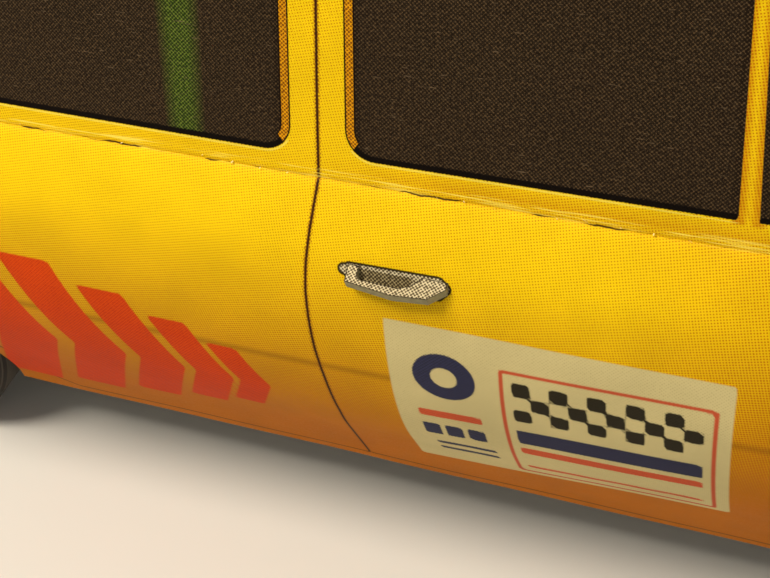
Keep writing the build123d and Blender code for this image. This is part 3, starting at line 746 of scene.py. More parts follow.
# %% [markdown]
# ## Trim round the windows
# A strip of trim lies along the edge of a window's opening, and the glass begins behind it. It
# could have an outline of its own, but both follow the same edge, so both are worked out from the
# opening's one distance. That keeps the strip as wide everywhere.

# %% Glass and trim from one distance
opening, trim = ink["glass"], ink["trim"]
behind = add(tree, "ShaderNodeMath", {0: opening, 1: TRIM_WIDTH - TRIM_LAP}, operation="SUBTRACT")
bare = add(tree, "ShaderNodeMath", {0: TRIM_LAP, 1: trim}, operation="SUBTRACT")
behind = add(tree, "ShaderNodeMath", {0: behind, 1: bare}, operation="MAXIMUM")
glass = add(tree, "ShaderNodeMath", {0: opening, 1: behind}, operation="MINIMUM")
gasket = add(tree, "ShaderNodeMath", {0: ink["gasket"], 1: glass}, operation="MINIMUM")
middle = add(tree, "ShaderNodeMath", {0: opening, 1: TRIM_WIDTH / 2}, operation="SUBTRACT")
middle = add(tree, "ShaderNodeMath", {0: middle}, operation="ABSOLUTE")
strip = add(tree, "ShaderNodeMath", {0: TRIM_WIDTH / 2, 1: middle}, operation="SUBTRACT")
trim = add(tree, "ShaderNodeMath", {0: trim, 1: strip}, operation="MINIMUM")
ink.update(glass=glass, gasket=gasket, trim=trim)
print("nodes so far:", len(tree.nodes))

# %% [markdown]
# ## The other inks
# Each further ink is a Map Range that finds the edge of its shape, made slightly ragged by the
# dots, and a Mix that lays it over what is below, in the order of a printing press. A table holds
# what differs from ink to ink, so one loop prints them all. Its lengths are in mm.

# %% The press: one ink over the other
PRINT = (  # ink, half width of a line, soft and ragged edge, dots, ground, dot size, cover
    ("swage", 0.2, 0.3, 0.0, "#7A4206", "#7A4206", 0.0, 0.55),
    ("gap", 0.13, 0.07, 0.3, "#9A5A0C", "#9A5A0C", 0.0, 0.6),
    ("gap", 0.07, 0.035, 0.06, "#33190A", "#33190A", 0.0, 0.96),
    ("rear_gap", 0.13, 0.07, 0.3, "#9A5A0C", "#9A5A0C", 0.0, 0.6),
    ("rear_gap", 0.07, 0.035, 0.06, "#33190A", "#33190A", 0.0, 0.96),
    ("stripe", 0.0, 0.07, 0.08, "#C22C04", "#D84408", 0.34, 0.97),
    ("silver", 0.0, 0.03, 0.05, "#62543C", "#E0D2AA", 0.42, 1.0),
    ("cup", 0.0, 0.03, 0.08, "#463A26", "#B09F74", 0.47, 1.0),
    ("silver", 0.075, 0.03, 0.03, "#1E140A", "#1E140A", 0.0, 0.95),
    ("label", 0.0, 0.06, 0.04, "#C4B27C", "#D2C28A", 0.22, 1.0),
    ("frame", 0.13, 0.06, 0.04, "#C23A1C", "#C23A1C", 0.0, 0.9),
    ("red", 0.0, 0.05, 0.1, "#C23A1C", "#D0512A", 0.3, 0.95),
    ("blue", 0.0, 0.05, 0.1, "#14183A", "#262C52", 0.4, 0.97),
    ("black", 0.0, 0.05, 0.06, "#0E0B08", "#1C1712", 0.4, 0.97),
    ("rim", 0.06, 0.03, 0.0, "#F0E05A", "#F0E05A", 0.0, 0.65),
    ("glass", 0.0, 0.03, 0.02, "#1E150C", "#56432C", 0.52, 1.0),
    ("tube", 0.0, 0.45, 0.2, "#22340C", "#66782A", 0.46, 0.9),
    ("gasket", 0.0, 0.03, 0.07, "#0B0604", "#0B0604", 0.0, 0.97),
    ("trim", 0.0, 0.03, 0.03, "#150C05", "#150C05", 0.0, 1.0),
    ("wiper", 0.24, 0.04, 0.05, "#15100B", "#15100B", 0.0, 0.9),
    ("wiper", 0.13, 0.04, 0.05, "#6F6858", "#BDB6A2", 0.4, 1.0),
)
SCREEN_MEAN = 0.38  # the black screen's mean, so that a ragged edge stays in its place
DOT_EDGE = 0.08
for name, half, soft, ragged, dots, ground, size, cover in PRINT:
    depth = ink[name]
    if half:
        off = add(tree, "ShaderNodeMath", {0: depth}, operation="ABSOLUTE")
        depth = add(tree, "ShaderNodeMath", {0: half, 1: off}, operation="SUBTRACT")
    torn = {0: black_screen, 1: -ragged, 2: depth}
    depth = add(tree, "ShaderNodeMath", torn, operation="MULTIPLY_ADD")
    shift = SCREEN_MEAN * ragged
    edge = {"Value": depth, "From Min": -soft - shift, "From Max": soft - shift, "To Max": cover}
    mask = add(tree, "ShaderNodeMapRange", edge)
    edge = {"Value": black_screen, "From Min": size + DOT_EDGE, "From Max": size - DOT_EDGE}
    spot = add(tree, "ShaderNodeMapRange", edge)
    tint = add(tree, "ShaderNodeMix", {0: spot, 6: ground, 7: dots}, data_type="RGBA")
    colour = add(tree, "ShaderNodeMix", {0: mask, 6: colour, 7: tint}, data_type="RGBA")

# The strip of trim is orange inside its dark outline
core = add(tree, "ShaderNodeMapRange", {"Value": trim, "From Min": 0.08, "From Max": 0.11})
grain = add(tree, "ShaderNodeMapRange", {"Value": black_screen, "From Min": 0.5, "From Max": 0.3})
amber = add(tree, "ShaderNodeMix", {0: grain, 6: "#E09A10", 7: "#7E4A08"}, data_type="RGBA")
colour = add(tree, "ShaderNodeMix", {0: core, 6: colour, 7: amber}, data_type="RGBA")
print("inks in the press:", len(PRINT))

# %% [markdown]
# ## Dust on the glass
# The dark glass shows up dust and fluff that the yellow hides. Real fluff could be modelled, but
# it lies flat and is finer than the dots, so one noise makes a haze and a second one, stretched
# along a slant, makes hairs. Both keep clear of the window's edge.

# %% Haze and fluff
haze = add(tree, "ShaderNodeTexNoise", {"Vector": flat, "Scale": 7.0, "Detail": 3.0})
span = {"Value": haze, "From Min": 0.45, "From Max": 0.8, "To Max": 0.35}
haze = add(tree, "ShaderNodeMapRange", span)
slant = {"Vector": flat, "Rotation": (0, 0, math.radians(35)), "Scale": (0.9, 7.0, 1)}
fluff = add(tree, "ShaderNodeMapping", slant)
fluff = add(tree, "ShaderNodeTexNoise", {"Vector": fluff, "Scale": 1.0, "Detail": 2.0})
fluff = add(tree, "ShaderNodeMapRange", {"Value": fluff, "From Min": 0.66, "From Max": 0.74})
dusty = add(tree, "ShaderNodeMath", {0: fluff, 1: haze}, operation="MAXIMUM")
span = {"Value": glass, "From Min": 0.3, "From Max": 0.5, "To Max": 0.5}
inside = add(tree, "ShaderNodeMapRange", span)
dusty = add(tree, "ShaderNodeMath", {0: dusty, 1: inside}, operation="MULTIPLY")
colour = add(tree, "ShaderNodeMix", {0: dusty, 6: colour, 7: "#7A664E"}, data_type="RGBA")
print("nodes so far:", len(tree.nodes))

# %% [markdown]
# ## The cracked crease
# Along the crease the coating cracks into a dark line that comes and goes. Along it runs a soft
# valley of painted shade, and above it pale streaks of painted highlight. The mesh has the dent
# itself, but a crack is thinner than any grid, so these marks are drawn by the ink "crease", the
# distance from the fold, bent a little by noise.

# %% Painted shade in the valley, crack and painted highlights
crease = ink["crease"]
along = add(tree, "ShaderNodeMapping", {"Vector": flat, "Scale": (0.2, 0.3, 1)})
broken = add(tree, "ShaderNodeTexNoise", {"Vector": along, "Scale": 1.0, "Detail": 3.0})
wander = add(tree, "ShaderNodeTexNoise", {"Vector": flat, "Scale": 0.9, "Detail": 3.0})
wander = add(tree, "ShaderNodeMath", {0: wander, 1: 0.5}, operation="SUBTRACT")
bent = add(tree, "ShaderNodeMath", {0: wander, 1: 0.35, 2: crease}, operation="MULTIPLY_ADD")
off = add(tree, "ShaderNodeMath", {0: bent}, operation="ABSOLUTE")
span = {"Value": off, "From Min": 0.2, "From Max": 0.0, "To Max": 0.25}
# Painted shade: a darker orange along the valley of the crease.
valley_shade = add(tree, "ShaderNodeMapRange", span)
span = {"Value": broken, "From Min": 0.46, "From Max": 0.57, "To Min": -0.03, "To Max": 0.05}
opened = add(tree, "ShaderNodeMapRange", span)
crack = add(tree, "ShaderNodeMath", {0: opened, 1: off}, operation="SUBTRACT")
span = {"Value": crack, "From Min": -0.02, "From Max": 0.02, "To Max": 0.95}
crack = add(tree, "ShaderNodeMapRange", span)
# Painted highlights: pale streaks just above the crease, where the crinkled coating would catch the
# light.
streaks = add(tree, "ShaderNodeMapping", {"Vector": flat, "Scale": (0.22, 7.0, 1)})
streaks = add(tree, "ShaderNodeTexNoise", {"Vector": streaks, "Scale": 1.0, "Detail": 3.0})
span = {"Value": streaks, "From Min": 0.52, "From Max": 0.64, "To Max": 0.75}
crease_highlight = add(tree, "ShaderNodeMapRange", span)
above = add(tree, "ShaderNodeMath", {0: crease, 1: 0.28}, operation="ADD")
above = add(tree, "ShaderNodeMath", {0: above}, operation="ABSOLUTE")
above = add(tree, "ShaderNodeMapRange", {"Value": above, "From Min": 0.4, "From Max": 0.15})
crease_highlight = add(tree, "ShaderNodeMath", {0: crease_highlight, 1: above}, operation="MULTIPLY")
# Over the print: the valley's painted shade, the painted highlights, then the dark crack itself.
for share, code in ((valley_shade, "#C07C0C"), (crease_highlight, "#FFEC66"), (crack, "#3A2006")):
    colour = add(tree, "ShaderNodeMix", {0: share, 6: colour, 7: code}, data_type="RGBA")
print("nodes so far:", len(tree.nodes))

# %% [markdown]
# ## The paper under the ink
# Card is never quite even. Slow mottle changes the ink's strength and bends the surface, fine
# fibres roughen it, and the coating is matt with duller specks. All of it follows the flat sheet.

# %% Mottle, fibres and gloss
span = {"Value": mottle, "From Min": 0.3, "From Max": 0.7, "To Min": 0.93, "To Max": 1.05}
shade = add(tree, "ShaderNodeMapRange", span)
final = add(tree, "ShaderNodeHueSaturation", {"Value": shade, "Color": colour})
fibre = add(tree, "ShaderNodeTexNoise", {"Vector": flat, "Scale": 3.2, "Detail": 6.0})
height = add(tree, "ShaderNodeMath", {0: mottle, 1: 6.0, 2: fibre}, operation="MULTIPLY_ADD")
relief = {"Height": height, "Strength": 0.5, "Distance": 0.025 * MM}
bump = add(tree, "ShaderNodeBump", relief)
span = {"Value": speck, "From Min": 0.3, "From Max": 0.7, "To Min": 0.5, "To Max": 0.62}
gloss = add(tree, "ShaderNodeMapRange", span)
coating = {"Base Color": final, "Roughness": gloss, "Normal": bump, "Specular IOR Level": 0.05}
shader = add(tree, "ShaderNodeBsdfPrincipled", coating)
add(tree, "ShaderNodeOutputMaterial", {"Surface": shader})
print("nodes in the printed card:", len(tree.nodes))

# %% [markdown]
# ## Raw card
# Where a sheet is cut, its edge shows undyed pulp, a little dirty from handling, and the inside
# of the sheets looks the same. The thick edges of the door grips have been touched up with a grey
# pen, as modellers do, so the same recipe is mixed a second time in darker shades.


# %% Material: cut edge and back of the card
def cut_card(name, dark, light):
    """Pulp between two shades, with soft dirt over it."""
    material, tree = new_finish(name)
    place = add(tree, "ShaderNodeTexCoord").outputs["Object"]
    pulp = add(tree, "ShaderNodeTexNoise", {"Vector": place, "Scale": 2.6 / MM, "Detail": 4.0})
    cloud = add(tree, "ShaderNodeTexNoise", {"Vector": place, "Scale": 0.18 / MM, "Detail": 3.0})
    mix = add(tree, "ShaderNodeMix", {0: pulp, 6: dark, 7: light}, data_type="RGBA")
    span = {"Value": cloud, "From Min": 0.3, "From Max": 0.7, "To Min": 0.8, "To Max": 1.05}
    dirt = add(tree, "ShaderNodeMapRange", span)
    colour = add(tree, "ShaderNodeHueSaturation", {"Value": dirt, "Color": mix})
    relief = {"Height": pulp, "Strength": 0.5, "Distance": 0.05 * MM}
    bump = add(tree, "ShaderNodeBump", relief)
    matt = {"Base Color": colour, "Roughness": 0.9, "Normal": bump}
    shader = add(tree, "ShaderNodeBsdfPrincipled", matt)
    add(tree, "ShaderNodeOutputMaterial", {"Surface": shader})
    return material


raw_card = cut_card("raw_card", "#8F8158", "#D2C292")
inked_edge = cut_card("inked_card_edge", "#716A4A", "#B0A67C")
print("cut card:", raw_card.name, "and", inked_edge.name)

# %% [markdown]
# ## Give the sides their thickness
# Solidify turns the printed face into a sheet of card: the ink stays outside, and the back and
# the cut rims take the raw card. The result is read back as a plain mesh.


# %% Sides as sheets of card
def plain_mesh(piece):
    """The piece's shape after its modifiers, as a mesh of its own in their place."""
    graph = bpy.context.evaluated_depsgraph_get()
    made = bpy.data.meshes.new_from_object(piece.evaluated_get(graph))
    piece.modifiers.clear()
    piece.data = made
    made.name = piece.name


def new_piece(name, mesh):
    piece = bpy.data.objects.new(name, mesh)
    bpy.context.scene.collection.objects.link(piece)
    return piece


def smooth(mesh, degrees):
    """Shade a mesh smooth, with its edges sharp where faces turn by more than an angle."""
    mesh.polygons.foreach_set("use_smooth", [True] * len(mesh.polygons))
    work = bmesh.new()
    work.from_mesh(mesh)
    for edge in work.edges:
        edge.smooth = edge.calc_face_angle(math.pi) < math.radians(degrees)
    work.to_mesh(mesh)
    work.free()


def take_over(piece, node, body="root"):
    """Show a finished piece in place of its solid."""
    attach(piece, body)
    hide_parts(node)


for hand, mesh in side_mesh.items():
    piece = new_piece("side_" + hand + "_card", mesh)
    mesh.materials.append(card_print)
    mesh.materials.append(raw_card)
    thick = piece.modifiers.new("thickness", "SOLIDIFY")
    thick.thickness = CARD * MM
    thick.offset = -1
    thick.use_rim = True
    thick.material_offset = 1
    thick.material_offset_rim = 1
    plain_mesh(piece)
    smooth(piece.data, 24)
    take_over(piece, "side_" + hand)
    print(piece.name, "has", sum(len(p.vertices) - 2 for p in piece.data.polygons), "triangles")

# %% [markdown]
# ## Print the panels
# The copies of the other sheets already have their thickness, so only the faces that point out
# of the car take the ink. Which way out is depends on the panel: up, forwards or backwards.


# %% Panels as printed card, with raw edges
def print_faces(mesh, facing, limit, rest):
    """Printed card on the faces that point outwards, another finish on the rest."""
    mesh.materials.append(card_print)
    mesh.materials.append(rest)
    index = np.where(facing > limit, 0, 1).astype(np.int32)
    mesh.polygons.foreach_set("material_index", index)


OUTWARDS = {name: (0, 0, 1) for name in FLAT_PANELS}
OUTWARDS |= {"windscreen": (1, 0, 0), "front_panel": (1, 0, 0)}
for name, mesh in panel_mesh.items():
    facing = read(mesh.polygons, "normal") @ np.array(OUTWARDS.get(name, (-1, 0, 0)))
    print_faces(mesh, facing, 0.3, raw_card)
    smooth(mesh, 30)
    take_over(new_piece(name + "_card", mesh), name)
    print(name, int((facing > 0.3).sum()), "of", len(facing), "faces printed")

# %% [markdown]
# ## Door grips
# Each grip is a loop of doubled card, bent out of the door. Its face is printed like bare metal,
# in the black screen on a pale ground with a thin outline, and its thick cut edge is grey. The
# face is told from the edges by the way it points.

# %% Dress the door grips
GRIP_LENGTH, GRIP_REACH, GRIP_DROP = 6.2, 1.5, 4.75
GRIP_EXTRA = 0.18  # the frayed back ply stands this much below the drawn thickness
GRIP_X = {"front": 6.4, "rear": -26.4}
GRIP_LEAN = FOLD_ANGLE - GRIP_DROP / SHOULDER_RADIUS + math.radians(50)
GRIP_OUTLINE = [(-1, 0), (-0.95, 0.77), (0, 1), (0.7, 0.88), (1, 0.33), (1, 0), (0.5, 0)]
GRIP_OUTLINE += [(0.3, 0.45), (0.1, 0.63), (-0.68, 0.57), (-0.76, 0.4), (-0.76, 0)]
GRIP_OUTLINE = [(a * GRIP_LENGTH / 2, b * GRIP_REACH) for a, b in GRIP_OUTLINE]
for end, grip_x in GRIP_X.items():
    root_y, root_z = flank_point(grip_x, GRIP_DROP)
    for hand, side in (("left", 1), ("right", -1)):
        node = "grip_" + end + "_" + hand
        mesh = slice_mesh(merged_copy(node), (0, 1), 0.2)
        x, y, z = mesh_points(mesh).T
        out = (y * side - root_y) * math.sin(GRIP_LEAN) - (z - root_z) * math.cos(GRIP_LEAN)
        flat = np.stack([x - grip_x, out], -1)
        store_flat(mesh, flat)
        lay_ink(mesh, silver=depth_inside(flat, GRIP_OUTLINE) + 0.02)
        face = Vector((0, side * math.cos(GRIP_LEAN), math.sin(GRIP_LEAN)))
        facing = read(mesh.polygons, "normal") @ np.array(face)
        back = {v for p in np.where(facing < -0.7)[0] for v in mesh.polygons[p].vertices}
        for v in back:
            mesh.vertices[v].co -= face * GRIP_EXTRA * MM
        print_faces(mesh, facing, 0.7, inked_edge)
        smooth(mesh, 20)
        take_over(new_piece(node + "_card", mesh), node)
print("grips lean", round(math.degrees(GRIP_LEAN), 1), "degrees")

# %% [markdown]
# ## Fibres torn out along the crease
# Where the coating cracks, single paper fibres and flecks stand up and catch the light. They are
# the same few shapes again and again along a line, which is what Geometry Nodes are for: points
# along the crease, a small push at random, and one of two tiny shapes on each point.

# %% Material and tools for the fibres
paper_fibre, tree = new_finish("paper_fibre")
place = add(tree, "ShaderNodeTexCoord").outputs["Object"]
tint = add(tree, "ShaderNodeTexNoise", {"Vector": place, "Scale": 0.9 / MM})
colour = add(tree, "ShaderNodeMix", {0: tint, 6: "#E6C040", 7: "#FBEFB0"}, data_type="RGBA")
shader = add(tree, "ShaderNodeBsdfPrincipled", {"Base Color": colour, "Roughness": 0.8})
add(tree, "ShaderNodeOutputMaterial", {"Surface": shader})


def new_group(name, sockets):
    """A geometry tree with named inputs, and the sockets that hand them out."""
    group = bpy.data.node_groups.new(name, "GeometryNodeTree")
    for side in ("INPUT", "OUTPUT"):
        group.interface.new_socket("Geometry", in_out=side, socket_type="NodeSocketGeometry")
    for label, (kind, default) in sockets.items():
        kind = "NodeSocket" + kind
        socket = group.interface.new_socket(label, in_out="INPUT", socket_type=kind)
        if default is not None:
            socket.default_value = default
    return group, add(group, "NodeGroupInput").outputs


def close_group(group, instances, material):
    """End a tree as the export needs it: real meshes that carry their material."""
    solid = add(group, "GeometryNodeRealizeInstances", {"Geometry": instances})
    shown = add(group, "GeometryNodeSetMaterial", {"Geometry": solid, "Material": material})
    add(group, "NodeGroupOutput", {0: shown})


def run_group(piece, group, **values):
    """Run a tree on a piece, with inputs set by identifier, and keep the plain mesh."""
    modifier = piece.modifiers.new(group.name, "NODES")
    modifier.node_group = group
    for item in group.interface.items_tree:
        if item.item_type == "SOCKET" and item.in_out == "INPUT" and item.name in values:
            modifier[item.identifier] = values[item.name]
    plain_mesh(piece)


print("fibres in", paper_fibre.name)

# %% [markdown]
# ## The fibres' tree
# A mesh line becomes a curve with evenly set points. Two little models are made in the tree, an
# arc swept by a square thread and a flattened ball, and each point draws one of them, its turn
# and its size from the same fixed seed.

# %% Geometry Nodes: fibres and flecks along a line
sockets = {"Count": ("Int", 100), "Length": ("Float", 0.26 * MM), "Fleck": ("Float", 0.05 * MM)}
sockets |= {"Spread": ("Float", 0.12 * MM), "Seed": ("Int", 3), "Material": ("Material", None)}
fibres, given = new_group("fibres_along_a_line", sockets)
spread, seed, fleck = given["Spread"], given["Seed"], given["Fleck"]
line = add(fibres, "GeometryNodeMeshToCurve", {"Mesh": given["Geometry"]})
points = add(fibres, "GeometryNodeResampleCurve", {"Curve": line, "Count": given["Count"]})
less = add(fibres, "ShaderNodeMath", {0: spread, 1: -1.0}, operation="MULTIPLY")
draw = {"Min": less, "Max": spread, "Seed": seed}
push = add(fibres, "FunctionNodeRandomValue", draw, data_type="FLOAT_VECTOR")
moved = add(fibres, "GeometryNodeSetPosition", {"Geometry": points, "Offset": push})

# A fibre is a short bent thread, a fleck a flattened ball
bend = {"Resolution": 5, "Start": (0, 0, 0), "Middle": (0.5, 0.1, 0.35), "End": (1, 0, 0.15)}
arc = add(fibres, "GeometryNodeCurveQuadraticBezier", bend)
thread = add(fibres, "GeometryNodeCurvePrimitiveCircle", {"Resolution": 4, "Radius": 0.035})
sweep = {"Curve": arc, "Profile Curve": thread, "Fill Caps": True}
fibre = add(fibres, "GeometryNodeCurveToMesh", sweep)
size = add(fibres, "ShaderNodeCombineXYZ", {axis: given["Length"] for axis in "XYZ"})
fibre = add(fibres, "GeometryNodeTransform", {"Geometry": fibre, "Scale": size})
ball = add(fibres, "GeometryNodeMeshIcoSphere", {"Radius": 1.0, "Subdivisions": 2})
long = add(fibres, "ShaderNodeMath", {0: fleck, 1: 1.9}, operation="MULTIPLY")
thin = add(fibres, "ShaderNodeMath", {0: fleck, 1: 0.45}, operation="MULTIPLY")
size = add(fibres, "ShaderNodeCombineXYZ", {"X": long, "Y": fleck, "Z": thin})
ball = add(fibres, "GeometryNodeTransform", {"Geometry": ball, "Scale": size})
kinds = add(fibres, "GeometryNodeGeometryToInstance", {"Geometry": fibre})
fibres.links.new(ball.outputs[0], kinds.inputs["Geometry"])

# Each point draws one of the two, how far it is turned, and its size
draw = {"Min": (-0.5, -0.7, -3.1), "Max": (0.5, 0.7, 3.1), "Seed": seed}
turn = add(fibres, "FunctionNodeRandomValue", draw, data_type="FLOAT_VECTOR")
draw = {"Min": 0.35, "Max": 1.25, "Seed": seed}
grow = add(fibres, "FunctionNodeRandomValue", draw, data_type="FLOAT")
draw = {"Min": 0, "Max": 1, "Seed": seed}
pick = add(fibres, "FunctionNodeRandomValue", draw, data_type="INT")
instances = {"Points": moved, "Instance": kinds, "Pick Instance": True, "Instance Index": pick}
instances |= {"Rotation": turn, "Scale": grow}
placed = add(fibres, "GeometryNodeInstanceOnPoints", instances)
close_group(fibres, placed, given["Material"])

for hand, side in (("right", -1), ("left", 1)):
    name = "crease_fibres_" + hand
    xs = np.linspace(BACKLIGHT_FOOT_X + 2, SCREEN_FOOT_X - 2, 40)
    crease = [(float(x) * MM, side * (FOLD_Y + 0.02) * MM, (FOLD_Z + 0.05) * MM) for x in xs]
    path = bpy.data.meshes.new(name)
    path.from_pydata(crease, [(k, k + 1) for k in range(len(crease) - 1)], [])
    piece = new_piece(name, path)
    run_group(piece, fibres, Count=44, Seed=3 + side, Material=paper_fibre)
    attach(piece, "root")
    print(piece.name, "has", len(piece.data.polygons), "faces")

# %% [markdown]
# ## Wheels and tyres
# A tyre is a strip of dyed black card wound like a spring, so its wall shows fine rings. The wheel
# inside it is a stack of discs printed as pressed steel. Both finishes follow the distance from
# the axle, which each point stores, because the exported model keeps an attribute.

# %% Materials: wound black card and printed wheel disc
wound_card, tree = new_finish("wound_black_card")
ring = add(tree, "ShaderNodeAttribute", attribute_name="ring").outputs["Fac"]
place = add(tree, "ShaderNodeTexCoord").outputs["Object"]
grime = add(tree, "ShaderNodeTexNoise", {"Vector": place, "Scale": 0.42 / MM, "Detail": 5.0})
turns = add(tree, "ShaderNodeMath", {0: ring, 1: 2 * math.pi / CARD}, operation="MULTIPLY")
layers = add(tree, "ShaderNodeMath", {0: turns}, operation="SINE")
light = add(tree, "ShaderNodeMapRange", {"Value": layers, "From Min": 0.2, "To Max": 0.55})
dust = add(tree, "ShaderNodeMix", {0: grime, 6: "#191715", 7: "#34302B"}, data_type="RGBA")
colour = add(tree, "ShaderNodeMix", {0: light, 6: dust, 7: "#5A5248"}, data_type="RGBA")
height = add(tree, "ShaderNodeMath", {0: layers, 1: 0.5, 2: grime}, operation="MULTIPLY_ADD")
bump = add(tree, "ShaderNodeBump", {"Height": height, "Strength": 0.5, "Distance": 0.04 * MM})
dull = {"Base Color": colour, "Roughness": 0.78, "Normal": bump, "Specular IOR Level": 0.25}
shader = add(tree, "ShaderNodeBsdfPrincipled", dull)
add(tree, "ShaderNodeOutputMaterial", {"Surface": shader})
RING_REACH = 10  # mm from the axle to the end of a ring's colour ramp


def printed_bands(tree, share, bands, place, size, cover):
    """Bands of colour under the black screen. A band is a position and a colour."""
    ramp = add(tree, "ShaderNodeValToRGB", {0: share})
    stops = ramp.color_ramp.elements
    while len(stops) < len(bands):
        stops.new(0.5)
    for stop, (position, code) in zip(stops, bands):
        stop.position = position
        stop.color = linear(code)
    grid = {"Vector": place, "Scale": 1 / (SCREEN_PITCH * MM), "Randomness": 0.0}
    screen = add(tree, "ShaderNodeTexVoronoi", grid)
    span = {"Value": screen, "From Min": size + 0.1, "From Max": size - 0.1, "To Max": cover}
    spot = add(tree, "ShaderNodeMapRange", span)
    return add(tree, "ShaderNodeMix", {0: spot, 6: ramp, 7: "#2A241C"}, data_type="RGBA")


def ring_print(name, rings, cover, roughness, coat):
    """Card printed in rings, from pairs of radius in mm and colour."""
    material, tree = new_finish(name)
    ring = add(tree, "ShaderNodeAttribute", attribute_name="ring").outputs["Fac"]
    share = add(tree, "ShaderNodeMath", {0: ring, 1: 1 / RING_REACH}, operation="MULTIPLY")
    bands = [(radius / RING_REACH, code) for radius, code in rings]
    place = add(tree, "ShaderNodeTexCoord").outputs["Object"]
    turn = (math.radians(90), 0, math.radians(45))
    upright = add(tree, "ShaderNodeMapping", {"Vector": place, "Rotation": turn})
    inked = printed_bands(tree, share, bands, upright, 0.45, cover)
    fibre = add(tree, "ShaderNodeTexNoise", {"Vector": place, "Scale": 2.4 / MM, "Detail": 4.0})
    relief = {"Height": fibre, "Strength": 0.3, "Distance": 0.02 * MM}
    bump = add(tree, "ShaderNodeBump", relief)
    varnish = {"Base Color": inked, "Roughness": roughness, "Normal": bump, "Coat Weight": coat}
    shader = add(tree, "ShaderNodeBsdfPrincipled", varnish)
    add(tree, "ShaderNodeOutputMaterial", {"Surface": shader})
    return material


WHEEL_RINGS = ((0.0, "#D8D2C2"), (1.6, "#F2EEE2"), (2.5, "#8C857A"), (2.72, "#1C1916"))
WHEEL_RINGS += ((2.95, "#A8A294"), (4.2, "#D0CABA"), (5.6, "#928B7E"), (5.95, "#26221E"))
WHEEL_RINGS += ((6.2, "#E4DECE"), (6.8, "#B4AE9E"))
wheel_print = ring_print("printed_wheel_disc", WHEEL_RINGS, 0.25, 0.5, 0.0)
print("wheel finishes:", wound_card.name, "and", wheel_print.name)

# %% [markdown]
# ## Put the wheels on
# Tyres and wheels keep the shapes of their solids. The tyre's few big faces are enough, because
# its rings only depend on the radius, but a disc is sliced, so that its ring of holes carries
# the radius at closely set points.


# %% Dress wheels and tyres
def dress(node, material, angle, body="root", ring=(), spacing=0):
    """A joined copy of a solid, in one finish, in the solid's place."""
    mesh = merged_copy(node)
    if spacing:
        slice_mesh(mesh, (0, 2), spacing)
    if ring:
        centre, axis = ring
        points = mesh_points(mesh) - np.array(centre)
        points[:, axis] = 0
        store(mesh, "ring", np.linalg.norm(points, axis=1))
    mesh.materials.append(material)
    smooth(mesh, angle)
    take_over(new_piece(node + "_card", mesh), node, body)


for end, axle_x in AXLE_X.items():
    body, ring = end + "_axle", ((axle_x, 0, TYRE_RADIUS), 1)
    for hand in ("right", "left"):
        place = "_" + end + "_" + hand
        dress("tyre" + place, wound_card, 50, body, ring)
        dress("wheel" + place, wheel_print, 30, body, ring, 0.45)
print("wheels and tyres dressed")

# %% [markdown]
# ## Wheel nuts
# Four punched card nuts sit round each hub cap, between the holes of the disc. One small tree
# places them on a circle, on both wheels of an axle at once, so they turn with it. They wear the
# wheel's brightest ring.

# %% Geometry Nodes: nuts on a circle
sockets = {"Count": ("Int", 4), "Ring": ("Float", 3.45 * MM), "Width": ("Float", 0.36 * MM)}
sockets |= {"Thickness": ("Float", 0.4 * MM), "Place": ("Vector", (0, 0, 0))}
sockets |= {"Mirror": ("Vector", (0, 0, 0)), "Material": ("Material", None)}
nuts, given = new_group("nuts_on_a_circle", sockets)
hexagon = {"Vertices": 6, "Radius": given["Width"], "Depth": given["Thickness"]}
nut = add(nuts, "GeometryNodeMeshCylinder", hexagon)
circle = {"Vertices": given["Count"], "Radius": given["Ring"]}
circle = add(nuts, "GeometryNodeMeshCircle", circle)
around = add(nuts, "GeometryNodeInstanceOnPoints", {"Points": circle, "Instance": nut})
both = add(nuts, "GeometryNodeJoinGeometry")
for where in ("Place", "Mirror"):
    turn = (math.radians(90), math.radians(22.5), 0)
    move = {"Geometry": around, "Translation": given[where], "Rotation": turn}
    upright = add(nuts, "GeometryNodeTransform", move)
    nuts.links.new(upright.outputs[0], both.inputs["Geometry"])
close_group(nuts, both, given["Material"])

DISC_FACE_Y = HALF_WIDTH - 4.2
NUT_RING = 1.5  # the radius of the ring whose colour the nuts wear
for end, axle_x in AXLE_X.items():
    piece = new_piece("wheel_nuts_" + end, bpy.data.meshes.new("wheel_nuts_" + end))
    centre = Vector((axle_x, DISC_FACE_Y, TYRE_RADIUS)) * MM
    across = Vector((axle_x, -DISC_FACE_Y, TYRE_RADIUS)) * MM
    run_group(piece, nuts, Place=centre, Mirror=across, Material=wheel_print)
    store(piece.data, "ring", np.full(len(piece.data.vertices), NUT_RING))
    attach(piece, end + "_axle")
    print(piece.name, "has", len(piece.data.polygons), "faces")

# %% [markdown]
# ## Lamps
# Each round lamp is a stack of discs with a rim and a domed front. The front is printed as glass
# in rings and varnished, which gives it a clear coat that the rest of the model lacks. Tail lamps
# are red card under the same varnish, with an amber lower part and ribs half a millimetre apart.

# %% Dress the lamps
LAMP_RINGS = ((0.0, "#FFFBEA"), (0.9, "#E6E2D2"), (1.7, "#BDB8A6"), (2.35, "#EFEAD8"))
LAMP_RINGS += ((2.6, "#3A342B"), (2.75, "#D8D2C0"), (3.1, "#A39C8C"), (3.4, "#6E675A"))
lamp_print = ring_print("varnished_lamp_card", LAMP_RINGS, 0.12, 0.35, 0.6)
LAMPS = {"headlamp": (HALF_WIDTH - 8.7, 24.2), "driving_lamp": (9.4, 20.1)}
for hand, side in (("left", 1), ("right", -1)):
    for kind, (lamp_y, lamp_z) in LAMPS.items():
        ring = ((0, side * lamp_y, lamp_z), 0)
        dress(kind + "_" + hand, lamp_print, 35, ring=ring)

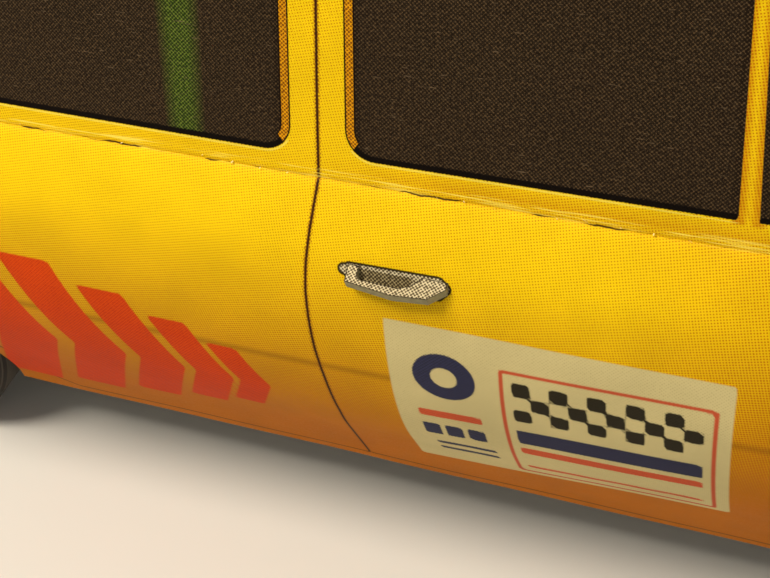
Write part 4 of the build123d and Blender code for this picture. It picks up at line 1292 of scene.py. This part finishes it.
RIB_PITCH = 0.5 * MM
tail_print, tree = new_finish("varnished_red_card")
place = add(tree, "ShaderNodeTexCoord").outputs["Object"]
height = add(tree, "ShaderNodeSeparateXYZ", {0: place}).outputs["Z"]
span = {"Value": height, "From Min": 22.8 * MM, "From Max": 23.1 * MM}
glow = add(tree, "ShaderNodeMapRange", span)
ribs = add(tree, "ShaderNodeMath", {0: height, 1: 2 * math.pi / RIB_PITCH}, operation="MULTIPLY")
wave = add(tree, "ShaderNodeMath", {0: ribs}, operation="SINE")
span = {"Value": wave, "From Min": -1.0, "To Min": 0.8, "To Max": 1.05}
shade = add(tree, "ShaderNodeMapRange", span)
lens = add(tree, "ShaderNodeMix", {0: glow, 6: "#E8932A", 7: "#B3201A"}, data_type="RGBA")
colour = add(tree, "ShaderNodeHueSaturation", {"Value": shade, "Color": lens})
varnish = {"Base Color": colour, "Roughness": 0.35, "Coat Weight": 0.6}
shader = add(tree, "ShaderNodeBsdfPrincipled", varnish)
add(tree, "ShaderNodeOutputMaterial", {"Surface": shader})
for hand in ("left", "right"):
    dress("tail_lamp_" + hand, tail_print, 35)
print("lamps dressed")

# %% [markdown]
# ## Bumpers
# A printer fakes chrome with bands: sky above, a dark horizon, and a warm floor below. A real
# metal shader would look wrong here, because ink doesn't mirror. The bumper wears those bands by
# height, broken up by the dot screen.

# %% Material: card printed as chrome
CHROME_LOW, CHROME_HIGH = 13.2 * MM, 16.6 * MM
CHROME_BANDS = ((0.0, "#4E463A"), (0.3, "#B9A882"), (0.47, "#3B362F"), (0.55, "#8F8D88"))
CHROME_BANDS += ((0.72, "#F4F2EC"), (1.0, "#9FA3A6"))
chrome_print, tree = new_finish("chrome_printed_card")
place = add(tree, "ShaderNodeTexCoord").outputs["Object"]
height = add(tree, "ShaderNodeSeparateXYZ", {0: place}).outputs["Z"]
span = {"Value": height, "From Min": CHROME_LOW, "From Max": CHROME_HIGH}
share = add(tree, "ShaderNodeMapRange", span)
colour = printed_bands(tree, share, CHROME_BANDS, place, 0.4, 0.25)
scuff = add(tree, "ShaderNodeTexNoise", {"Vector": place, "Scale": 0.5 / MM, "Detail": 4.0})
span = {"Value": scuff, "From Min": 0.3, "From Max": 0.7, "To Min": 0.4, "To Max": 0.6}
sheen = add(tree, "ShaderNodeMapRange", span)
shader = add(tree, "ShaderNodeBsdfPrincipled", {"Base Color": colour, "Roughness": sheen})
add(tree, "ShaderNodeOutputMaterial", {"Surface": shader})
for node in ("bumper_front", "bumper_rear"):
    dress(node, chrome_print, 30)
print("bumpers dressed")

# %% [markdown]
# ## Grille
# The grille is the same paper printed black, with pale bars. The bars stand out of the solid, so
# their fronts are found by the way they face, and the solid itself is kept.


# %% Material: card printed as black mesh
def coat_solid(node, material):
    """Give a finish to a solid that is kept as it is."""
    nodes[node].data.materials.clear()
    nodes[node].data.materials.append(material)


black_print, tree = new_finish("black_printed_card")
place = add(tree, "ShaderNodeTexCoord").outputs["Object"]
normal = add(tree, "ShaderNodeNewGeometry").outputs["Normal"]
ahead = add(tree, "ShaderNodeSeparateXYZ", {0: normal}).outputs["X"]
front = add(tree, "ShaderNodeMapRange", {"Value": ahead, "From Min": 0.6, "From Max": 0.8})
dust = add(tree, "ShaderNodeTexNoise", {"Vector": place, "Scale": 0.7 / MM, "Detail": 4.0})
metal = add(tree, "ShaderNodeMix", {0: dust, 6: "#8E877A", 7: "#CFC9BA"}, data_type="RGBA")
colour = add(tree, "ShaderNodeMix", {0: front, 6: "#1B1815", 7: metal}, data_type="RGBA")
shader = add(tree, "ShaderNodeBsdfPrincipled", {"Base Color": colour, "Roughness": 0.6})
add(tree, "ShaderNodeOutputMaterial", {"Surface": shader})
coat_solid("grille", black_print)
print("grille dressed")

# %% [markdown]
# ## Underneath
# Floor and wheel wells are plain grey board, the kind on the back of a writing pad, and each axle
# is a peeled wooden stick. Grey board is pulp with darker flecks; the stick has grain along it.

# %% Materials: grey board and wooden stick
grey_board, tree = new_finish("grey_board")
place = add(tree, "ShaderNodeTexCoord").outputs["Object"]
pulp = add(tree, "ShaderNodeTexNoise", {"Vector": place, "Scale": 1.5 / MM, "Detail": 5.0})
fleck = add(tree, "ShaderNodeTexVoronoi", {"Vector": place, "Scale": 0.9 / MM})
base = add(tree, "ShaderNodeMix", {0: pulp, 6: "#6F6A60", 7: "#9C968A"}, data_type="RGBA")
span = {"Value": fleck, "From Min": 0.16, "From Max": 0.06, "To Max": 0.5}
dark = add(tree, "ShaderNodeMapRange", span)
colour = add(tree, "ShaderNodeMix", {0: dark, 6: base, 7: "#3E3A33"}, data_type="RGBA")
bump = add(tree, "ShaderNodeBump", {"Height": pulp, "Strength": 0.4, "Distance": 0.04 * MM})
matt = {"Base Color": colour, "Roughness": 0.92, "Normal": bump}
shader = add(tree, "ShaderNodeBsdfPrincipled", matt)
add(tree, "ShaderNodeOutputMaterial", {"Surface": shader})

stick_wood, tree = new_finish("peeled_birch_stick")
place = add(tree, "ShaderNodeTexCoord").outputs["Object"]
drawn = add(tree, "ShaderNodeMapping", {"Vector": place, "Scale": (1.0, 0.06, 1.0)})
grain = add(tree, "ShaderNodeTexNoise", {"Vector": drawn, "Scale": 3.5 / MM, "Detail": 4.0})
colour = add(tree, "ShaderNodeMix", {0: grain, 6: "#B08A58", 7: "#E2C796"}, data_type="RGBA")
shader = add(tree, "ShaderNodeBsdfPrincipled", {"Base Color": colour, "Roughness": 0.7})
add(tree, "ShaderNodeOutputMaterial", {"Surface": shader})

for node in nodes:
    if node.startswith(("floor", "wheel_well", "axle")):
        coat_solid(node, stick_wood if node.startswith("axle") else grey_board)
print("underside dressed")

# %% [markdown]
# ## Floor, light and camera
# The photograph is a close look down at one side from above and a little ahead. A large soft
# lamp above on the left lights the shoulder, and the flank falls off below it.

# %% Floor and light
FLOOR_SPAN = 3.0
corners = [(FLOOR_SPAN * a, FLOOR_SPAN * b, 0) for a, b in box(-1, -1, 1, 1)]
floor_mesh = bpy.data.meshes.new("studio_floor")
floor_mesh.from_pydata(corners, [], [(0, 1, 2, 3)])
floor = new_piece("studio_floor", floor_mesh)
pale, tree = new_finish("pale_floor")
shader = add(tree, "ShaderNodeBsdfPrincipled", {"Base Color": "#DDDAD3", "Roughness": 0.8})
add(tree, "ShaderNodeOutputMaterial", {"Surface": shader})
floor_mesh.materials.append(pale)

world = bpy.data.worlds.new("studio")
bpy.context.scene.world = world
world.use_nodes = True
world.node_tree.nodes.clear()
sky = add(world.node_tree, "ShaderNodeBackground", {"Color": "#F4F1EA", "Strength": 0.26})
add(world.node_tree, "ShaderNodeOutputWorld", {"Surface": sky})

LAMP_TABLE = (  # name, place and target in metres, width, watts, colour
    ("key_lamp", (-0.11, -0.1, 0.26), (-0.02, -0.02, 0.02), 0.12, 0.86, "#FFF6E6"),
    ("fill_lamp", (0.5, -0.5, 0.35), (0, 0, 0.02), 0.4, 0.4, "#FFF8EE"),
    ("back_lamp", (0.0, 0.6, 0.5), (0, 0, 0.02), 0.4, 2.4, "#FFFFFF"),
)
for name, place, target, width, watts, code in LAMP_TABLE:
    lamp = bpy.data.lights.new(name, "AREA")
    lamp.shape = "DISK"
    lamp.size = width
    lamp.energy = watts
    lamp.color = linear(code)[:3]
    holder = new_piece(name, lamp)
    holder.location = place
    holder.rotation_euler = (Vector(target) - Vector(place)).to_track_quat("-Z", "Y").to_euler()
print("lamps:", ", ".join(row[0] for row in LAMP_TABLE))

# %% [markdown]
# ## The camera
# Its lens, place and direction come from a fit of the dot screen and the sheet's edges, seen in
# the photograph. It could be aimed with a Track To constraint, but the fit also gives a roll, so
# the three axes of the view are worked out and set as one matrix.

# %% Camera
CAMERA_PLACE = (33.77, -86.23, 90.46)
YAW, PITCH, ROLL = 0.4511, 0.7663, 0.1319
camera = bpy.data.cameras.new("camera")
camera.sensor_width = 36
camera.lens = 72.09
camera.clip_start = 0.001
view = new_piece("camera", camera)
level = Vector((math.cos(YAW), math.sin(YAW), 0))
inwards = Vector((-math.sin(YAW), math.cos(YAW), 0))
ahead = inwards * math.cos(PITCH) - Vector((0, 0, math.sin(PITCH)))
down = ahead.cross(level)
right = math.cos(ROLL) * level + math.sin(ROLL) * down
below = -math.sin(ROLL) * level + math.cos(ROLL) * down
turn = Matrix((right, -below, -ahead)).transposed().to_4x4()
view.matrix_world = Matrix.Translation(Vector(CAMERA_PLACE) * MM) @ turn
bpy.context.scene.camera = view
bpy.context.scene.view_settings.view_transform = "Standard"
print("camera at", [round(c, 4) for c in view.location])
